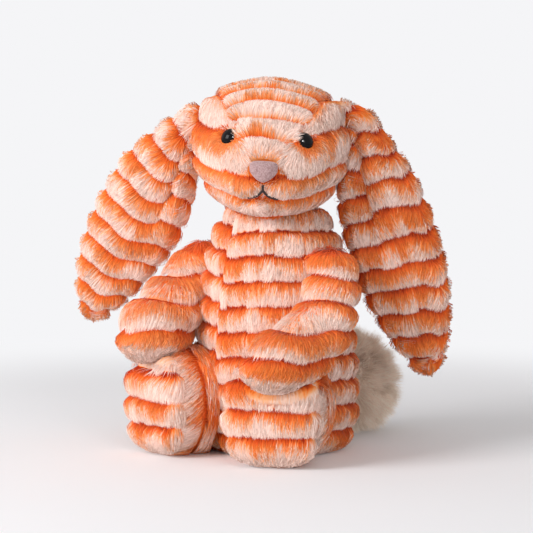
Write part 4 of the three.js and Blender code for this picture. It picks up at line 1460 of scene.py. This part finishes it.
# Stuffing
# Loose polyester fibre, pushed into each bag as one springy wad. The body's wad sits over the pouch like a
# bell, and the head's has a hollow for the neck.

WAD_DEPTH = 3.2
FIBRE_STOPS = [(0.3, (0.55, 0.54, 0.52, 1)), (0.6, (0.88, 0.87, 0.85, 1))]
LEG_WAD_START = 0.45  # a leg is left empty at the hip, so that it can swing
POUCH_HALF = np.array([27, 24, 12])
POUCH_CLOTH = 1
POUCH_CENTRE = np.array([0, 0, 18.4])
BELL_PROFILE = [
    (0.5, 118), (14, 114), (23, 104), (29, 86), (32.5, 62), (34.5, 40), (34.5, 24), (32, 13),
    (29.5, 15), (28.5, 20), (24, 27), (14, 31.5), (0.5, 32.5),
]


def lumpy(points, normal):
    """Points moved in from the cloth, and out and in by lumps: the product of a sine of each coordinate."""
    lumps = np.sin(points[..., 0] / 4.1) * np.sin(points[..., 1] / 3.7 + 1) * np.sin(points[..., 2] / 4.4)
    return points - normal * (WAD_DEPTH + 1.1 * lumps)[..., None]


def wad(plush, start=0, around=70, along=50):
    """A grid of points for the wad in a bag of plush, from a fraction start of its length on."""
    u, v = grid(around, along)
    v = start + (1 - start) * v
    return lumpy(plush.form(u, v), plush.lie(u, v)[0])


def bell(around=70, along=60):
    """A grid of points for the body's wad: a profile turned about the upright axis, made lumpy."""
    u, v = grid(around, along)
    profile = by_length(BELL_PROFILE)[0](v)
    level = np.stack([np.sin(2 * np.pi * u), np.cos(2 * np.pi * u), 0 * u], -1)
    points = level * profile[..., :1] + UP * profile[..., 1:]
    return lumpy(points + level * WAD_DEPTH, level)


def fibre(nodes):
    """White fibre fill: tangled in every direction, soft and never quite even."""
    tangle = noise_over(nodes, 260, 5, 3)
    surface = grained(nodes, tangle, FIBRE_STOPS, tangle, 0.8, 0.0015)
    return {"Roughness": 0.95, "Specular IOR Level": 0.1, "Sheen Weight": 0.5, **surface}


fibre_look = finish("fibre", fibre)
wads = [("body", bell(), False), ("head", wad(head), head.side < 0)]
for name in ("left", "right"):
    wads.append((f"{name}_arm", wad(arms[name]), arms[name].side < 0))
    wads.append((f"{name}_leg", wad(legs[name], LEG_WAD_START), legs[name].side < 0))
tail_cloth = tail_form(*grid(50, 34))
wads.append(("tail", lumpy(tail_cloth, unit(tail_cloth - TAIL_CENTRE)), True))
for name, points, flip in wads:
    dress(shell(f"{name}_wad", points, flip), fibre_look, name, [f"{name}_stuffing"])

# Pouch and pellets
# A plain cotton bag, sewn round its middle and gathered. It lies loose in the seat, full of small plastic
# pellets, whose weight makes the toy sit.

COTTON_STOPS = [(0, (0.40, 0.36, 0.29, 1)), (1, (0.66, 0.61, 0.51, 1))]
PELLETS = 900
PELLET_RADIUS = 1.5
PELLET_WHITE = (0.78, 0.78, 0.76)


def pouch_form(u, v):
    """An ellipsoid whose cloth gathers in pleats towards a seam round its middle."""
    angle = 2 * np.pi * u
    out = np.sin(np.pi * v)
    way = np.stack([out * np.cos(angle), out * np.sin(angle), np.cos(np.pi * v)], -1)
    pleat = 1 + 0.012 * np.cos(44 * angle) * out ** 6
    return POUCH_CENTRE + way * POUCH_HALF * pleat[..., None]


def cotton(nodes):
    """Undyed cotton: threads over and under, warp by weft, as two waves multiplied, in faint clouds."""
    place = nodes.node("TexCoord", output="Object")
    warp = nodes.node("TexWave", sockets={"Vector": place, "Scale": 390})
    weft = nodes.node("TexWave", {"bands_direction": "Y"}, {"Vector": place, "Scale": 390})
    cloud = noise_over(nodes, 90, 3)
    weave = warp * weft
    surface = grained(nodes, weave * 0.6 + cloud * 0.4, COTTON_STOPS, weave, 0.5, 0.0004)
    return {"Roughness": 0.9, "Specular IOR Level": 0.15, **surface}


def beads(name, seed):
    """Loose pellets: twenty-sided beads, spread evenly at random through the pouch."""
    draw = np.random.default_rng(seed)
    golden = (1 + math.sqrt(5)) / 2
    flat = [(-1, golden), (1, golden), (-1, -golden), (1, -golden)]
    corners = [(a, b, 0) for a, b in flat] + [(0, a, b) for a, b in flat] + [(b, 0, a) for a, b in flat]
    corners = unit(np.array(corners, float)) * PELLET_RADIUS
    faces = np.array([
        (0, 11, 5), (0, 5, 1), (0, 1, 7), (0, 7, 10), (0, 10, 11), (1, 5, 9), (5, 11, 4), (11, 10, 2),
        (10, 7, 6), (7, 1, 8), (3, 9, 4), (3, 4, 2), (3, 2, 6), (3, 6, 8), (3, 8, 9), (4, 9, 5), (2, 4, 11),
        (6, 2, 10), (8, 6, 7), (9, 8, 1),
    ])
    way = unit(draw.normal(size=(PELLETS, 3))) * draw.random((PELLETS, 1)) ** (1 / 3)
    middles = POUCH_CENTRE + way * (POUCH_HALF - POUCH_CLOTH - PELLET_RADIUS)
    points = middles[:, None] + corners[None]
    every = (faces[None] + np.arange(PELLETS)[:, None, None] * len(corners)).ravel()
    places = np.tile(np.array([(0, 0), (1, 0), (0.5, 1)]), (PELLETS * len(faces), 1))
    return put(name, points.reshape(-1, 3), every, np.full(PELLETS * len(faces), 3), {"OFBake": places})


def moulded(nodes, pale):
    """Milky moulded plastic with faint flow clouds."""
    cloud = noise_over(nodes, 300)
    stops = [(0.3, tuple(0.85 * c for c in pale) + (1,)), (0.7, pale + (1,))]
    colour = nodes.node("ValToRGB", {"stops": stops}, {0: cloud})
    return {"Base Color": colour, "Roughness": 0.35 + cloud * 0.2, "Specular IOR Level": 0.4}


pouch = shell("pouch_cloth", pouch_form(*grid(180, 60)), True)
dress(pouch, finish("pouch_cotton", cotton), "body", ["pellet_pouch"])
pellet_look = finish("pellet_plastic", moulded, PELLET_WHITE)
dress(beads("pouch_pellets", 81), pellet_look, "body", ["pellets"])

# Neck thread and eye washers
# The drawn thread of waxed cotton that closes the head on the body, and the plastic washers pressed on the
# shanks of the eyes, are the solids themselves.

SEAM_STOPS = [(0.3, (0.20, 0.07, 0.025, 1)), (0.7, (0.36, 0.14, 0.05, 1))]
WASHER_WHITE = (0.86, 0.86, 0.83)


def repaint(node, look):
    """Gives a solid of the frame one material."""
    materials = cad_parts[node].data.materials
    materials.clear()
    materials.append(look)


repaint("neck_thread", finish("seam_thread", thread, 1800, SEAM_STOPS, 0.6))
washer_look = finish("washer_plastic", moulded, WASHER_WHITE)
repaint("left_eye_washer", washer_look)
repaint("right_eye_washer", washer_look)
